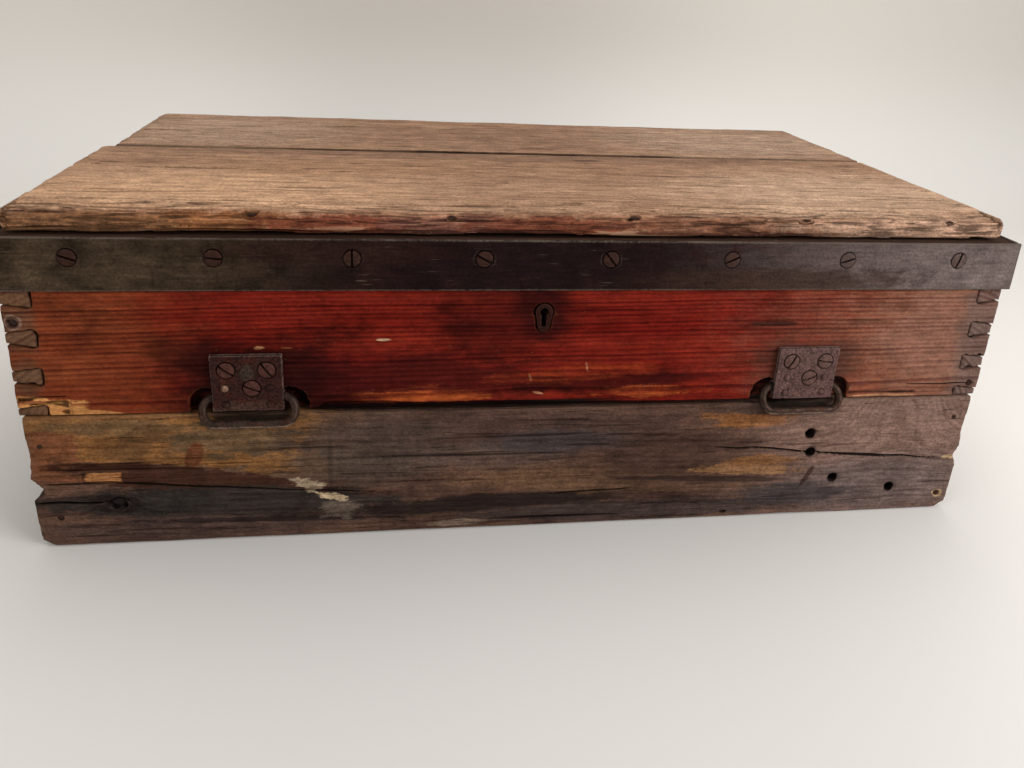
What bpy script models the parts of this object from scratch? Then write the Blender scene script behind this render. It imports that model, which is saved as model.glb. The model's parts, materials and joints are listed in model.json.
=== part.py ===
"""A dovetailed wooden tool chest with a steel-banded lid, ring handles, butt hinges and a box lock.

Units are metres, +Z is up and -Y is the front. The origin is the middle of the underside.
"""

import math

import bmesh
import bpy
from mathutils import Matrix

# Case
CASE_LENGTH = 0.740
CASE_DEPTH = 0.400
LOWER_HEIGHT = 0.110
UPPER_HEIGHT = 0.095
WALL = 0.020
BOTTOM_THICKNESS = 0.015
BOTTOM_BOARD_COUNT = 5

# Gap left between pieces that touch, how far a cutter passes a face that it opens, and the angle that
# keeps an edge sharp on a round piece
CLEARANCE = 0.0003
OVERCUT = 0.004
SHARP_ANGLE = math.radians(35)

# Dovetails of the upper course: tails on the front and back boards, pins on the sides
TAIL_COUNT = 3
PIN_WIDTH = 0.009
TOP_HALF_PIN = 0.011
BOTTOM_HALF_PIN = 0.006
TAIL_SLOPE = 1 / 7

# Loose tongues between the two courses
TONGUE_THICKNESS = 0.005
TONGUE_HEIGHT = 0.014
TONGUE_FROM_INSIDE = 0.0065
TONGUE_END_MARGIN = 0.045

# Old bolt holes in the lower front board, as (distance from its right end, height)
OLD_HOLE_PLACES = ((0.140, 0.078), (0.137, 0.060), (0.1125, 0.0346), (0.0584, 0.0233))
OLD_HOLE_RADIUS = 0.004

# Broken places in the ends of the lower front board
CHIP_DEPTH = 0.008
CHIP_HALF_HEIGHT = 0.009
LEFT_CHIP_HEIGHT = 0.050
RIGHT_CHIP_HEIGHT = 0.053
SMALL_CHIP_SHARE = 0.6
WORN_CORNER_WIDTH = 0.009
WORN_CORNER_HEIGHT = 0.006

# Lid
LID_RIM_HEIGHT = 0.038
LID_BOARD_THICKNESS = 0.018
LID_FRONT_BOARD_WIDTH = 0.220
LID_BOARD_GAP = 0.003
LID_FRONT_SETBACK = 0.0015
LID_REAR_SETBACK = 0.001
LID_FRONT_BOARD_INSETS = (0.006, 0.010)
LID_REAR_BOARD_INSETS = (0.013, 0.006)
LID_EDGE_ROUND = 0.008
LID_END_ROUND = 0.003
LID_ROUND_STEPS = 4

# Steel band round the lid, as high as the rim
BAND_THICKNESS = 0.003
BAND_SCREW_COUNT = 8
BAND_SCREW_FROM_END = 0.048
BAND_SCREW_RISE = 0.024

# Slotted countersunk screws
SCREW_HEAD_RADIUS = 0.0063
SCREW_HEAD_HEIGHT = 0.0035
SCREW_DOME = 0.0008
SCREW_DOME_SHOULDER = 0.6
SCREW_SHANK_RADIUS = 0.0022
SCREW_LENGTH = 0.018
SCREW_POINT_LENGTH = 0.0036
SCREW_SLOT_WIDTH = 0.0013
SCREW_SLOT_DEPTH = 0.0010
SCREW_SLOT_TURN = math.radians(47)
SCREW_SIDES = 14

# Ring handles, measured from the ends of the case to the middle of the plates
RING_FROM_END = 0.157
RING_PLATE_WIDTH = 0.050
RING_PLATE_HEIGHT = 0.044
RING_PLATE_RISE = 0.0035
RING_PLATE_THICKNESS = 0.0025
RING_BACKING_THICKNESS = 0.0015
RING_PIVOT_RISE = 0.009
RING_BAR_RADIUS = 0.00315
RING_DROP = 0.020
RING_LEG_OUT = 0.00735
RING_RUNNING_GAP = 0.00035
RING_REST_GAP = 0.0006
RING_POCKET_SIDE_ROOM = 0.0055
RING_POCKET_TOP_ROOM = 0.0044
RING_POCKET_CORNER = 0.012
RING_SIDES = 10
RING_CORNER_STEPS = 5
RING_UPPER_SCREW_X = 0.0140
RING_UPPER_SCREW_DROP = 0.0115
RING_LOWER_SCREW_X = 0.0030
RING_LOWER_SCREW_RISE = 0.0092

# Butt hinges, measured from the ends of the case to the middle of the leaves
HINGE_FROM_END = 0.140
HINGE_LENGTH = 0.064
HINGE_LEAF_REACH = 0.014
HINGE_LEAF_THICKNESS = 0.002
HINGE_AXIS_INSET = 0.006
KNUCKLE_RADIUS = 0.004
KNUCKLE_COUNT = 5
KNUCKLE_SIDES = 16
HINGE_PIN_RADIUS = 0.002
LID_OPENING = math.radians(100)
LID_STOP_SLACK = math.radians(1)

# Box lock let into the inside of the upper front board
LOCK_PLATE_WIDTH = 0.076
LOCK_PLATE_HEIGHT = 0.055
LOCK_PLATE_THICKNESS = 0.002
LOCK_DEPTH = 0.013
LOCK_CAP_WIDTH = 0.066
LOCK_CAP_HEIGHT = 0.046
LOCK_CAP_WALL = 0.0012
KEY_PIN_DROP = 0.0175
KEY_PIN_RADIUS = 0.0018
KEY_PIN_LENGTH = 0.0105
BOLT_THICKNESS = 0.003
BOLT_BAR_HEIGHT = 0.0028
BOLT_PRONG_LENGTH = 0.0085
BOLT_PRONG_HEIGHT = 0.003
BOLT_POST_WIDTH = 0.0035
BOLT_REST_GAP = 0.0015
BOLT_ROOM = 0.0008
SPRING_THICKNESS = 0.0006
SPRING_LENGTH = 0.011
SPRING_STEPS = 6

# Keeper on the lid, with two loops that drop into the lock
KEEPER_WIDTH = 0.048
KEEPER_DEPTH = 0.010
KEEPER_THICKNESS = 0.002
LOOP_X = 0.016
LOOP_THICKNESS = 0.003
LOOP_WIDTH = 0.008
LOOP_DROP = 0.011
LOOP_FRAME = 0.0015
LOOP_ROOM = 0.0004

# Keyhole escutcheon
KEYHOLE_RADIUS = 0.0032
KEYHOLE_SLOT_WIDTH = 0.0036
KEYHOLE_SLOT_DROP = 0.0115
ESCUTCHEON_WALL = 0.0033
ESCUTCHEON_FOOT_WALL = 0.0026
ESCUTCHEON_TAPER = 8
ESCUTCHEON_DEPTH = 0.005
ESCUTCHEON_STANDS_PROUD = 0.0008
ROUND_STEPS = 10

# Places that follow from the sizes above
HALF_LENGTH = CASE_LENGTH / 2
HALF_DEPTH = CASE_DEPTH / 2
FRONT = -HALF_DEPTH
FRONT_INSIDE = FRONT + WALL
BACK_INSIDE = HALF_DEPTH - WALL
SIDE_INSIDE = HALF_LENGTH - WALL
UPPER_BASE = LOWER_HEIGHT + CLEARANCE
RIM = LOWER_HEIGHT + UPPER_HEIGHT
LID_BASE = RIM + CLEARANCE
LID_RIM_TOP = LID_BASE + LID_RIM_HEIGHT
LID_BOARD_BASE = LID_RIM_TOP + CLEARANCE
LID_TOP = LID_BOARD_BASE + LID_BOARD_THICKNESS
BAND_BACK = FRONT - CLEARANCE
BAND_FRONT = BAND_BACK - BAND_THICKNESS
HINGE_X = HALF_LENGTH - HINGE_FROM_END
HINGE_Y = HALF_DEPTH - HINGE_AXIS_INSET
HINGE_Z = (RIM + LID_BASE) / 2
STOP_BEVEL = LID_OPENING / 2 + LID_STOP_SLACK
KNUCKLE_RELIEF = KNUCKLE_RADIUS + 2 * CLEARANCE
RING_X = HALF_LENGTH - RING_FROM_END
RING_BACKING_BACK = FRONT - CLEARANCE
RING_BACKING_FRONT = RING_BACKING_BACK - RING_BACKING_THICKNESS
RING_PLATE_BACK = RING_BACKING_FRONT - CLEARANCE
RING_PLATE_FRONT = RING_PLATE_BACK - RING_PLATE_THICKNESS
RING_PLATE_BASE = LOWER_HEIGHT + RING_PLATE_RISE
RING_PIVOT_Y = RING_PLATE_BACK + RING_RUNNING_GAP + RING_BAR_RADIUS
RING_PIVOT_Z = RING_PLATE_BASE + RING_PIVOT_RISE
RING_CHANNEL_RADIUS = RING_BAR_RADIUS + RING_RUNNING_GAP
RING_BUMP_RADIUS = RING_CHANNEL_RADIUS + RING_BACKING_THICKNESS
RING_POCKET_BACK = RING_PIVOT_Y + RING_BUMP_RADIUS + CLEARANCE
RING_HALF_SPAN = RING_PLATE_WIDTH / 2 + RING_LEG_OUT
RING_CORNER_RADIUS = RING_LEG_OUT - CLEARANCE
RING_ABOVE_SEAM = RING_PIVOT_Z - LOWER_HEIGHT
RING_INTO_WOOD = RING_PIVOT_Y - FRONT
RING_REST_TILT = math.asin(
    (RING_BAR_RADIUS + RING_REST_GAP) / math.hypot(RING_ABOVE_SEAM, RING_INTO_WOOD)
) + math.atan2(RING_INTO_WOOD, RING_ABOVE_SEAM)
LOCK_FRONT = FRONT_INSIDE - LOCK_DEPTH
LOCK_MIDDLE = FRONT_INSIDE - LOCK_DEPTH / 2
LOCK_PLATE_FRONT = FRONT_INSIDE - LOCK_PLATE_THICKNESS
LOCK_CAP_BACK = LOCK_PLATE_FRONT - CLEARANCE
LOCK_FLANGE_BASE = RIM - LOCK_PLATE_THICKNESS
LOCK_CAP_TOP = LOCK_FLANGE_BASE - CLEARANCE
KEY_PIN_Z = RIM - KEY_PIN_DROP
LOOP_BASE = RIM - LOOP_DROP
BOLT_BAR_TOP = LOOP_BASE - BOLT_ROOM
BOLT_PRONG_BASE = LOOP_BASE + LOOP_FRAME + BOLT_ROOM


def clear_scene():
    """Removes every object of the scene that is open."""
    for item in list(bpy.data.objects):
        bpy.data.objects.remove(item)


def make_material(name, colour, roughness, metallic=0.0):
    """A Principled material with one colour."""
    made = bpy.data.materials.new(name)
    made.use_nodes = True
    shader = made.node_tree.nodes["Principled BSDF"]
    shader.inputs["Base Color"].default_value = (*colour, 1.0)
    shader.inputs["Roughness"].default_value = roughness
    shader.inputs["Metallic"].default_value = metallic
    made.diffuse_color = (*colour, 1.0)
    return made


def make_axis(name, place):
    """An empty on a joint's axis, which the moving pieces are parented to."""
    axis = bpy.data.objects.new(name, None)
    axis.location = place
    bpy.context.scene.collection.objects.link(axis)
    return axis


def add_piece(name, shape, finish, axis=None):
    """Turns a bmesh in world coordinates into a named object, parented to its joint's empty if it moves."""
    mesh = bpy.data.meshes.new(name)
    shape.to_mesh(mesh)
    shape.free()
    mesh.materials.append(finish)
    piece = bpy.data.objects.new(name, mesh)
    bpy.context.scene.collection.objects.link(piece)
    if axis is not None:
        piece.parent = axis
        piece.matrix_parent_inverse = Matrix.Translation(axis.location).inverted()
    return piece


def shade_round(piece):
    """Smooth shading with the sharp edges kept."""
    piece.data.shade_smooth()
    piece.data.set_sharp_from_angle(angle=SHARP_ANGLE)


def combine(piece, shapes, operation):
    """Adds one Boolean with a helper mesh that holds all the shapes, which don't meet each other."""
    joined = shapes[0]
    for other in shapes[1:]:
        copy = bpy.data.meshes.new("copy")
        other.to_mesh(copy)
        other.free()
        joined.from_mesh(copy)
        bpy.data.meshes.remove(copy)
    mesh = bpy.data.meshes.new(f"{piece.name}.helper")
    joined.to_mesh(mesh)
    joined.free()
    helper = bpy.data.objects.new(f"{piece.name}.helper", mesh)
    helper.hide_render = True
    helper.display_type = "WIRE"
    bpy.context.scene.collection.objects.link(helper)
    step = piece.modifiers.new(operation.lower(), "BOOLEAN")
    step.operation = operation
    step.solver = "EXACT"
    step.object = helper


def cut(piece, *shapes):
    """Cuts the shapes out of the piece."""
    combine(piece, list(shapes), "DIFFERENCE")


def join(piece, *shapes):
    """Joins the shapes to the piece."""
    combine(piece, list(shapes), "UNION")


def prism(axis, outline, low, high):
    """An outline in the two other axes, in X, Y, Z order, extruded along one axis from low to high."""
    places = {
        "X": lambda a, b, t: (t, a, b),
        "Y": lambda a, b, t: (a, t, b),
        "Z": lambda a, b, t: (a, b, t),
    }[axis]
    shape = bmesh.new()
    start = [shape.verts.new(places(a, b, low)) for a, b in outline]
    end = [shape.verts.new(places(a, b, high)) for a, b in outline]
    shape.faces.new(start)
    shape.faces.new(end)
    for i in range(len(outline)):
        j = (i + 1) % len(outline)
        shape.faces.new((start[i], start[j], end[j], end[i]))
    bmesh.ops.recalc_face_normals(shape, faces=shape.faces)
    return shape


def box(low, high):
    """A box between two corners."""
    outline = [(low[0], low[1]), (high[0], low[1]), (high[0], high[1]), (low[0], high[1])]
    return prism("Z", outline, low[2], high[2])


def arc(centre, radius, start, end, steps):
    """Points on an arc, with the angles in degrees."""
    angles = [math.radians(start + (end - start) * i / steps) for i in range(steps + 1)]
    return [(centre[0] + radius * math.cos(t), centre[1] + radius * math.sin(t)) for t in angles]


def disc(centre, radius, sides):
    """A round outline."""
    return arc(centre, radius, 0, 360 * (sides - 1) / sides, sides - 1)


def turned(profile, x, z, sides):
    """A profile of (radius, y) turned about the line along Y through x and z, with both ends on that line."""
    shape = bmesh.new()
    rings = []
    for radius, y in profile[1:-1]:
        rings.append([shape.verts.new((x + a, y, z + b)) for a, b in disc((0, 0), radius, sides)])
    first = shape.verts.new((x, profile[0][1], z))
    last = shape.verts.new((x, profile[-1][1], z))
    for i in range(sides):
        j = (i + 1) % sides
        shape.faces.new((first, rings[0][i], rings[0][j]))
        shape.faces.new((last, rings[-1][i], rings[-1][j]))
        for near, far in zip(rings, rings[1:]):
            shape.faces.new((near[i], near[j], far[j], far[i]))
    bmesh.ops.recalc_face_normals(shape, faces=shape.faces)
    return shape


def tail_heights():
    """The middle height and the half width at the outer end of each tail, from the top down."""
    room = UPPER_HEIGHT - CLEARANCE - TOP_HALF_PIN - BOTTOM_HALF_PIN
    width = (room - (TAIL_COUNT - 1) * PIN_WIDTH) / TAIL_COUNT
    top = RIM - TOP_HALF_PIN
    return [(top - width / 2 - i * (width + PIN_WIDTH), width / 2) for i in range(TAIL_COUNT)]


def tailed_outline():
    """The outline of an upper front or back board in X and Z, with the tails at both ends."""
    root = SIDE_INSIDE - CLEARANCE
    flare = (HALF_LENGTH - root) * TAIL_SLOPE
    right = [(root, RIM)]
    for middle, half in tail_heights():
        right.append((root, middle + half - flare))
        right.append((HALF_LENGTH, middle + half))
        right.append((HALF_LENGTH, middle - half))
        right.append((root, middle - half + flare))
    right.append((root, UPPER_BASE))
    left = [(-x, z) for x, z in reversed(right)]
    return right + left


def tail_sockets(side):
    """The cuts at both ends of a side board that receive the tails. side is -1 for left and 1 for right."""
    inner = SIDE_INSIDE - OVERCUT
    outer = HALF_LENGTH + OVERCUT
    shapes = []
    for middle, half in tail_heights():
        inner_half = half + CLEARANCE - (HALF_LENGTH - inner) * TAIL_SLOPE
        outer_half = half + CLEARANCE + OVERCUT * TAIL_SLOPE
        outline = [
            (side * inner, middle - inner_half),
            (side * outer, middle - outer_half),
            (side * outer, middle + outer_half),
            (side * inner, middle + inner_half),
        ]
        shapes.append(prism("Y", outline, FRONT - OVERCUT, FRONT_INSIDE + CLEARANCE))
        shapes.append(prism("Y", outline, BACK_INSIDE - CLEARANCE, HALF_DEPTH + OVERCUT))
    return shapes


def tongue_box(front_or_back, low_or_high, grow):
    """The tongue in one wall, or its groove where grow is the clearance.

    front_or_back is True for a wall along X. low_or_high is -1 for the front or left wall, 1 for the other.
    """
    inside = BACK_INSIDE if front_or_back else SIDE_INSIDE
    reach = (HALF_LENGTH if front_or_back else HALF_DEPTH) - TONGUE_END_MARGIN + grow
    middle = low_or_high * (inside + TONGUE_FROM_INSIDE)
    half = TONGUE_THICKNESS / 2 + grow
    rise = TONGUE_HEIGHT / 2 + grow
    seam = LOWER_HEIGHT + CLEARANCE / 2
    low, high = (-reach, middle - half, seam - rise), (reach, middle + half, seam + rise)
    if not front_or_back:
        low, high = (low[1], low[0], low[2]), (high[1], high[0], high[2])
    return box(low, high)


def screw_room(x, z, face):
    """The hole for one screw from the front whose head lies in a face there, as deep as the screw."""
    head = SCREW_HEAD_RADIUS + CLEARANCE
    shank = SCREW_SHANK_RADIUS + CLEARANCE
    mouth = face - OVERCUT
    end = face + SCREW_LENGTH + CLEARANCE
    profile = [
        (0, mouth),
        (head, mouth),
        (head, face),
        (shank, face + SCREW_HEAD_HEIGHT),
        (shank, end),
        (0, end),
    ]
    return turned(profile, x, z, SCREW_SIDES)


def make_screw(name, x, z, face, turn, finish, axis=None):
    """A slotted countersunk screw whose domed head stands a little proud of a face at the front."""
    rim = SCREW_HEAD_RADIUS
    tip = SCREW_SHANK_RADIUS / 2
    shoulder = rim * SCREW_DOME_SHOULDER
    profile = [
        (0, face - SCREW_DOME),
        (shoulder, face - SCREW_DOME * (1 - SCREW_DOME_SHOULDER**2)),
        (rim, face),
        (SCREW_SHANK_RADIUS, face + SCREW_HEAD_HEIGHT),
        (SCREW_SHANK_RADIUS, face + SCREW_LENGTH - SCREW_POINT_LENGTH),
        (tip, face + SCREW_LENGTH),
        (0, face + SCREW_LENGTH),
    ]
    screw = add_piece(name, turned(profile, x, z, SCREW_SIDES), finish, axis)
    along = (math.cos(turn) * (rim + OVERCUT), math.sin(turn) * (rim + OVERCUT))
    across = (-math.sin(turn) * SCREW_SLOT_WIDTH / 2, math.cos(turn) * SCREW_SLOT_WIDTH / 2)
    signs = ((1, 1), (1, -1), (-1, -1), (-1, 1))
    outline = [(x + a * along[0] + b * across[0], z + a * along[1] + b * across[1]) for a, b in signs]
    cut(screw, prism("Y", outline, face - SCREW_DOME - OVERCUT, face - SCREW_DOME + SCREW_SLOT_DEPTH))
    shade_round(screw)


def keyhole_outline(radius, slot_width, slot_drop):
    """A round hole with a slot below it, about the key pin."""
    start = math.degrees(math.asin(slot_width / 2 / radius)) - 90
    outline = arc((0, KEY_PIN_Z), radius, start, 180 - start, ROUND_STEPS)
    outline.append((-slot_width / 2, KEY_PIN_Z - slot_drop))
    outline.append((slot_width / 2, KEY_PIN_Z - slot_drop))
    return outline


def escutcheon_outline(grow):
    """The outside of the escutcheon: a large arc above, a small one below and straight sides."""
    head = KEYHOLE_RADIUS + ESCUTCHEON_WALL + grow
    foot = KEYHOLE_SLOT_WIDTH / 2 + ESCUTCHEON_FOOT_WALL + grow
    foot_middle = (0, KEY_PIN_Z - KEYHOLE_SLOT_DROP)
    right, left = -ESCUTCHEON_TAPER, 180 + ESCUTCHEON_TAPER
    above = arc((0, KEY_PIN_Z), head, right, left, ROUND_STEPS)
    return above + arc(foot_middle, foot, left, 360 + right, ROUND_STEPS)


def stop_bevel(up_or_down):
    """The wedge cut from the rear edges of case and lid, so that they meet when the lid is open."""
    back = HALF_DEPTH + OVERCUT
    rise = up_or_down * (back - HINGE_Y) * math.tan(STOP_BEVEL)
    outline = [(HINGE_Y, HINGE_Z), (back, HINGE_Z), (back, HINGE_Z + rise)]
    reach = HALF_LENGTH + OVERCUT
    return prism("X", outline, -reach, reach)


def hinge_mortises(base, top):
    """The seats for both hinge leaves between two heights."""
    reach = HINGE_LENGTH / 2 + CLEARANCE
    low_y = HINGE_Y - HINGE_LEAF_REACH - CLEARANCE
    return [
        box((x - reach, low_y, base), (x + reach, HINGE_Y, top))
        for x in (-HINGE_X, HINGE_X)
    ]


def knuckle_reliefs():
    """The round rooms for the knuckles of both hinges."""
    reach = HINGE_LENGTH / 2 + CLEARANCE
    outline = disc((HINGE_Y, HINGE_Z), KNUCKLE_RELIEF, KNUCKLE_SIDES)
    return [prism("X", outline, x - reach, x + reach) for x in (-HINGE_X, HINGE_X)]


def ring_pocket(x):
    """The recess behind a ring: a groove behind its plate and a leg room on each side down to the seam."""
    groove_half = RING_BUMP_RADIUS + 2 * CLEARANCE
    side = RING_HALF_SPAN + RING_BAR_RADIUS + RING_POCKET_SIDE_ROOM
    neck = RING_PLATE_WIDTH / 2 + 3 * CLEARANCE
    top = RING_PIVOT_Z + RING_BAR_RADIUS + RING_POCKET_TOP_ROOM
    base = UPPER_BASE - OVERCUT
    corner = (side - RING_POCKET_CORNER, top - RING_POCKET_CORNER)
    right = [
        (neck, RING_PIVOT_Z - groove_half),
        (neck, base),
        (side, base),
        *arc(corner, RING_POCKET_CORNER, 0, 90, RING_CORNER_STEPS),
        (neck, top),
        (neck, RING_PIVOT_Z + groove_half),
    ]
    left = [(-a, b) for a, b in reversed(right)]
    outline = [(x + a, b) for a, b in right + left]
    return prism("Y", outline, FRONT - OVERCUT, RING_POCKET_BACK)


def ring_screw_places(x):
    """The three screws of a ring plate, as (x, z)."""
    top = RING_PLATE_BASE + RING_PLATE_HEIGHT - RING_UPPER_SCREW_DROP
    low = RING_PIVOT_Z + RING_LOWER_SCREW_RISE
    return [
        (x - RING_UPPER_SCREW_X, top),
        (x + RING_UPPER_SCREW_X, top),
        (x + RING_LOWER_SCREW_X, low),
    ]


def band_screw_places():
    """The screws along the front band, as (x, z)."""
    first = -HALF_LENGTH + BAND_SCREW_FROM_END
    step = -2 * first / (BAND_SCREW_COUNT - 1)
    return [(first + i * step, LID_BASE + BAND_SCREW_RISE) for i in range(BAND_SCREW_COUNT)]


def make_lower_course(wood):
    """The weathered lower boards. The front and back run over the ends of the sides."""
    left = -HALF_LENGTH
    right = HALF_LENGTH
    small = CHIP_DEPTH * SMALL_CHIP_SHARE
    outline = [
        (left, LOWER_HEIGHT),
        (left, LEFT_CHIP_HEIGHT + CHIP_HALF_HEIGHT),
        (left + CHIP_DEPTH, LEFT_CHIP_HEIGHT),
        (left + CHIP_DEPTH, LEFT_CHIP_HEIGHT - CHIP_HALF_HEIGHT / 2),
        (left, LEFT_CHIP_HEIGHT - CHIP_HALF_HEIGHT),
        (left, WORN_CORNER_HEIGHT),
        (left + WORN_CORNER_WIDTH, 0),
        (right - WORN_CORNER_WIDTH, 0),
        (right, WORN_CORNER_HEIGHT),
        (right, RIGHT_CHIP_HEIGHT - CHIP_HALF_HEIGHT),
        (right - small, RIGHT_CHIP_HEIGHT),
        (right, RIGHT_CHIP_HEIGHT + CHIP_HALF_HEIGHT),
        (right, LOWER_HEIGHT),
    ]
    front = add_piece("front_lower_board", prism("Y", outline, FRONT, FRONT_INSIDE), wood)
    rounds = [disc((right - x, z), OLD_HOLE_RADIUS, ROUND_STEPS) for x, z in OLD_HOLE_PLACES]
    holes = [prism("Y", outline, FRONT - OVERCUT, FRONT_INSIDE + OVERCUT) for outline in rounds]
    cut(front, *holes, tongue_box(True, -1, CLEARANCE))
    back = add_piece(
        "back_lower_board",
        box((left, BACK_INSIDE, 0), (right, HALF_DEPTH, LOWER_HEIGHT)),
        wood,
    )
    cut(back, tongue_box(True, 1, CLEARANCE))
    for name, side in (("left", -1), ("right", 1)):
        near, far = sorted((side * SIDE_INSIDE, side * HALF_LENGTH))
        shape = box((near, FRONT_INSIDE + CLEARANCE, 0), (far, BACK_INSIDE - CLEARANCE, LOWER_HEIGHT))
        board = add_piece(f"{name}_lower_board", shape, wood)
        cut(board, tongue_box(False, side, CLEARANCE))


def make_upper_course(wood):
    """The varnished upper boards with their dovetails, lock and hinge seats and ring pockets."""
    front = add_piece("front_upper_board", prism("Y", tailed_outline(), FRONT, FRONT_INSIDE), wood)
    plate_half = LOCK_PLATE_WIDTH / 2 + CLEARANCE
    cap_half = LOCK_CAP_WIDTH / 2 + CLEARANCE
    plate_base = RIM - LOCK_PLATE_HEIGHT - CLEARANCE
    cap_base = LOCK_CAP_TOP - LOCK_CAP_HEIGHT - CLEARANCE
    flange_base = LOCK_FLANGE_BASE - CLEARANCE
    inside = FRONT_INSIDE + OVERCUT
    above = RIM + OVERCUT
    recess_front = LOCK_FRONT - CLEARANCE
    cut(front, box((-plate_half, LOCK_PLATE_FRONT - CLEARANCE, plate_base), (plate_half, inside, above)))
    cut(front, box((-cap_half, recess_front, cap_base), (cap_half, inside, above)))
    cut(front, box((-plate_half, recess_front, flange_base), (plate_half, inside, above)))
    cut(front, prism("Y", escutcheon_outline(CLEARANCE), FRONT - OVERCUT, LOCK_FRONT + CLEARANCE))
    cut(front, tongue_box(True, -1, CLEARANCE), *[ring_pocket(x) for x in (-RING_X, RING_X)])
    places = [place for x in (-RING_X, RING_X) for place in ring_screw_places(x)]
    cut(front, *[screw_room(x, z, RING_PLATE_FRONT) for x, z in places])

    back = add_piece("back_upper_board", prism("Y", tailed_outline(), BACK_INSIDE, HALF_DEPTH), wood)
    cut(back, tongue_box(True, 1, CLEARANCE), stop_bevel(-1))
    leaf_seat = RIM - HINGE_LEAF_THICKNESS - CLEARANCE
    cut(back, *hinge_mortises(leaf_seat, RIM + OVERCUT))
    cut(back, *knuckle_reliefs())

    for name, side in (("left", -1), ("right", 1)):
        near, far = sorted((side * SIDE_INSIDE, side * HALF_LENGTH))
        board = add_piece(f"{name}_upper_board", box((near, FRONT, UPPER_BASE), (far, HALF_DEPTH, RIM)), wood)
        cut(board, *tail_sockets(side), tongue_box(False, side, CLEARANCE))
        cut(board, stop_bevel(-1))


def make_tongues(wood):
    """Loose tongues that join the two courses edge to edge."""
    walls = (("front", True, -1), ("back", True, 1), ("left", False, -1), ("right", False, 1))
    for name, along_x, side in walls:
        add_piece(f"{name}_tongue", tongue_box(along_x, side, 0), wood)


def make_bottom(wood):
    """Bottom boards side by side, running from front to back inside the walls."""
    reach = SIDE_INSIDE - CLEARANCE
    width = (2 * reach - (BOTTOM_BOARD_COUNT - 1) * CLEARANCE) / BOTTOM_BOARD_COUNT
    for i in range(BOTTOM_BOARD_COUNT):
        start = -reach + i * (width + CLEARANCE)
        low = (start, FRONT_INSIDE + CLEARANCE, 0)
        high = (start + width, BACK_INSIDE - CLEARANCE, BOTTOM_THICKNESS)
        add_piece(f"bottom_board_{i + 1}", box(low, high), wood)


def make_lid_rim(wood, axis):
    """Four rails under the lid boards."""
    front = add_piece(
        "lid_front_rail",
        box((-HALF_LENGTH, FRONT, LID_BASE), (HALF_LENGTH, FRONT_INSIDE, LID_RIM_TOP)),
        wood,
        axis,
    )
    half_width = KEEPER_WIDTH / 2 + CLEARANCE
    half_depth = KEEPER_DEPTH / 2 + CLEARANCE
    seat = LID_BASE + KEEPER_THICKNESS + CLEARANCE
    low = (-half_width, LOCK_MIDDLE - half_depth, LID_BASE - OVERCUT)
    keeper_seat = box(low, (half_width, LOCK_MIDDLE + half_depth, seat))
    cut(front, keeper_seat, *[screw_room(x, z, BAND_FRONT) for x, z in band_screw_places()])

    back = add_piece(
        "lid_back_rail",
        box((-HALF_LENGTH, BACK_INSIDE, LID_BASE), (HALF_LENGTH, HALF_DEPTH, LID_RIM_TOP)),
        wood,
        axis,
    )
    cut(back, stop_bevel(1))
    leaf_seat = LID_BASE + HINGE_LEAF_THICKNESS + CLEARANCE
    cut(back, *hinge_mortises(LID_BASE - OVERCUT, leaf_seat))
    cut(back, *knuckle_reliefs())

    for name, side in (("left", -1), ("right", 1)):
        near, far = sorted((side * SIDE_INSIDE, side * HALF_LENGTH))
        low = (near, FRONT_INSIDE + CLEARANCE, LID_BASE)
        high = (far, BACK_INSIDE - CLEARANCE, LID_RIM_TOP)
        add_piece(f"lid_{name}_rail", box(low, high), wood, axis)


def lid_board(insets, near, far, front_round):
    """One lid board between two Y places, with its front top edge worn round and its ends eased."""
    left = -HALF_LENGTH + insets[0]
    right = HALF_LENGTH - insets[1]
    profile = [(near, LID_BOARD_BASE), (far, LID_BOARD_BASE), (far, LID_TOP)]
    profile += arc((near + front_round, LID_TOP - front_round), front_round, 90, 180, LID_ROUND_STEPS)
    shape = prism("X", profile, left, right)
    ends = [edge for edge in shape.edges if abs(edge.verts[0].co.x - edge.verts[1].co.x) < CLEARANCE]
    top_ends = [edge for edge in ends if min(vert.co.z for vert in edge.verts) > LID_TOP - CLEARANCE]
    bmesh.ops.bevel(shape, geom=top_ends, offset=LID_END_ROUND, segments=1, affect="EDGES")
    return shape


def make_lid_boards(wood, axis):
    """Two boards nailed on the rim, with an open joint between them."""
    near = FRONT + LID_FRONT_SETBACK
    middle = near + LID_FRONT_BOARD_WIDTH
    far = HALF_DEPTH - LID_REAR_SETBACK
    front = lid_board(LID_FRONT_BOARD_INSETS, near, middle, LID_EDGE_ROUND)
    rear = lid_board(LID_REAR_BOARD_INSETS, middle + LID_BOARD_GAP, far, LID_END_ROUND)
    add_piece("lid_front_board", front, wood, axis)
    add_piece("lid_rear_board", rear, wood, axis)


def make_band(steel, screw_steel, axis):
    """Flat steel round the front and the sides of the rim, with its front screws."""
    reach = HALF_LENGTH + CLEARANCE + BAND_THICKNESS
    shape = box((-reach, BAND_FRONT, LID_BASE), (reach, BAND_BACK, LID_RIM_TOP))
    front = add_piece("band_front", shape, steel, axis)
    places = band_screw_places()
    cut(front, *[screw_room(x, z, BAND_FRONT) for x, z in places])
    for name, side in (("left", -1), ("right", 1)):
        near, far = sorted((side * (HALF_LENGTH + CLEARANCE), side * reach))
        low = (near, BAND_BACK + CLEARANCE, LID_BASE)
        add_piece(f"band_{name}", box(low, (far, HINGE_Y, LID_RIM_TOP)), steel, axis)
    for i, (x, z) in enumerate(places):
        make_screw(f"band_screw_{i + 1}", x, z, BAND_FRONT, i * SCREW_SLOT_TURN, screw_steel, axis)


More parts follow.
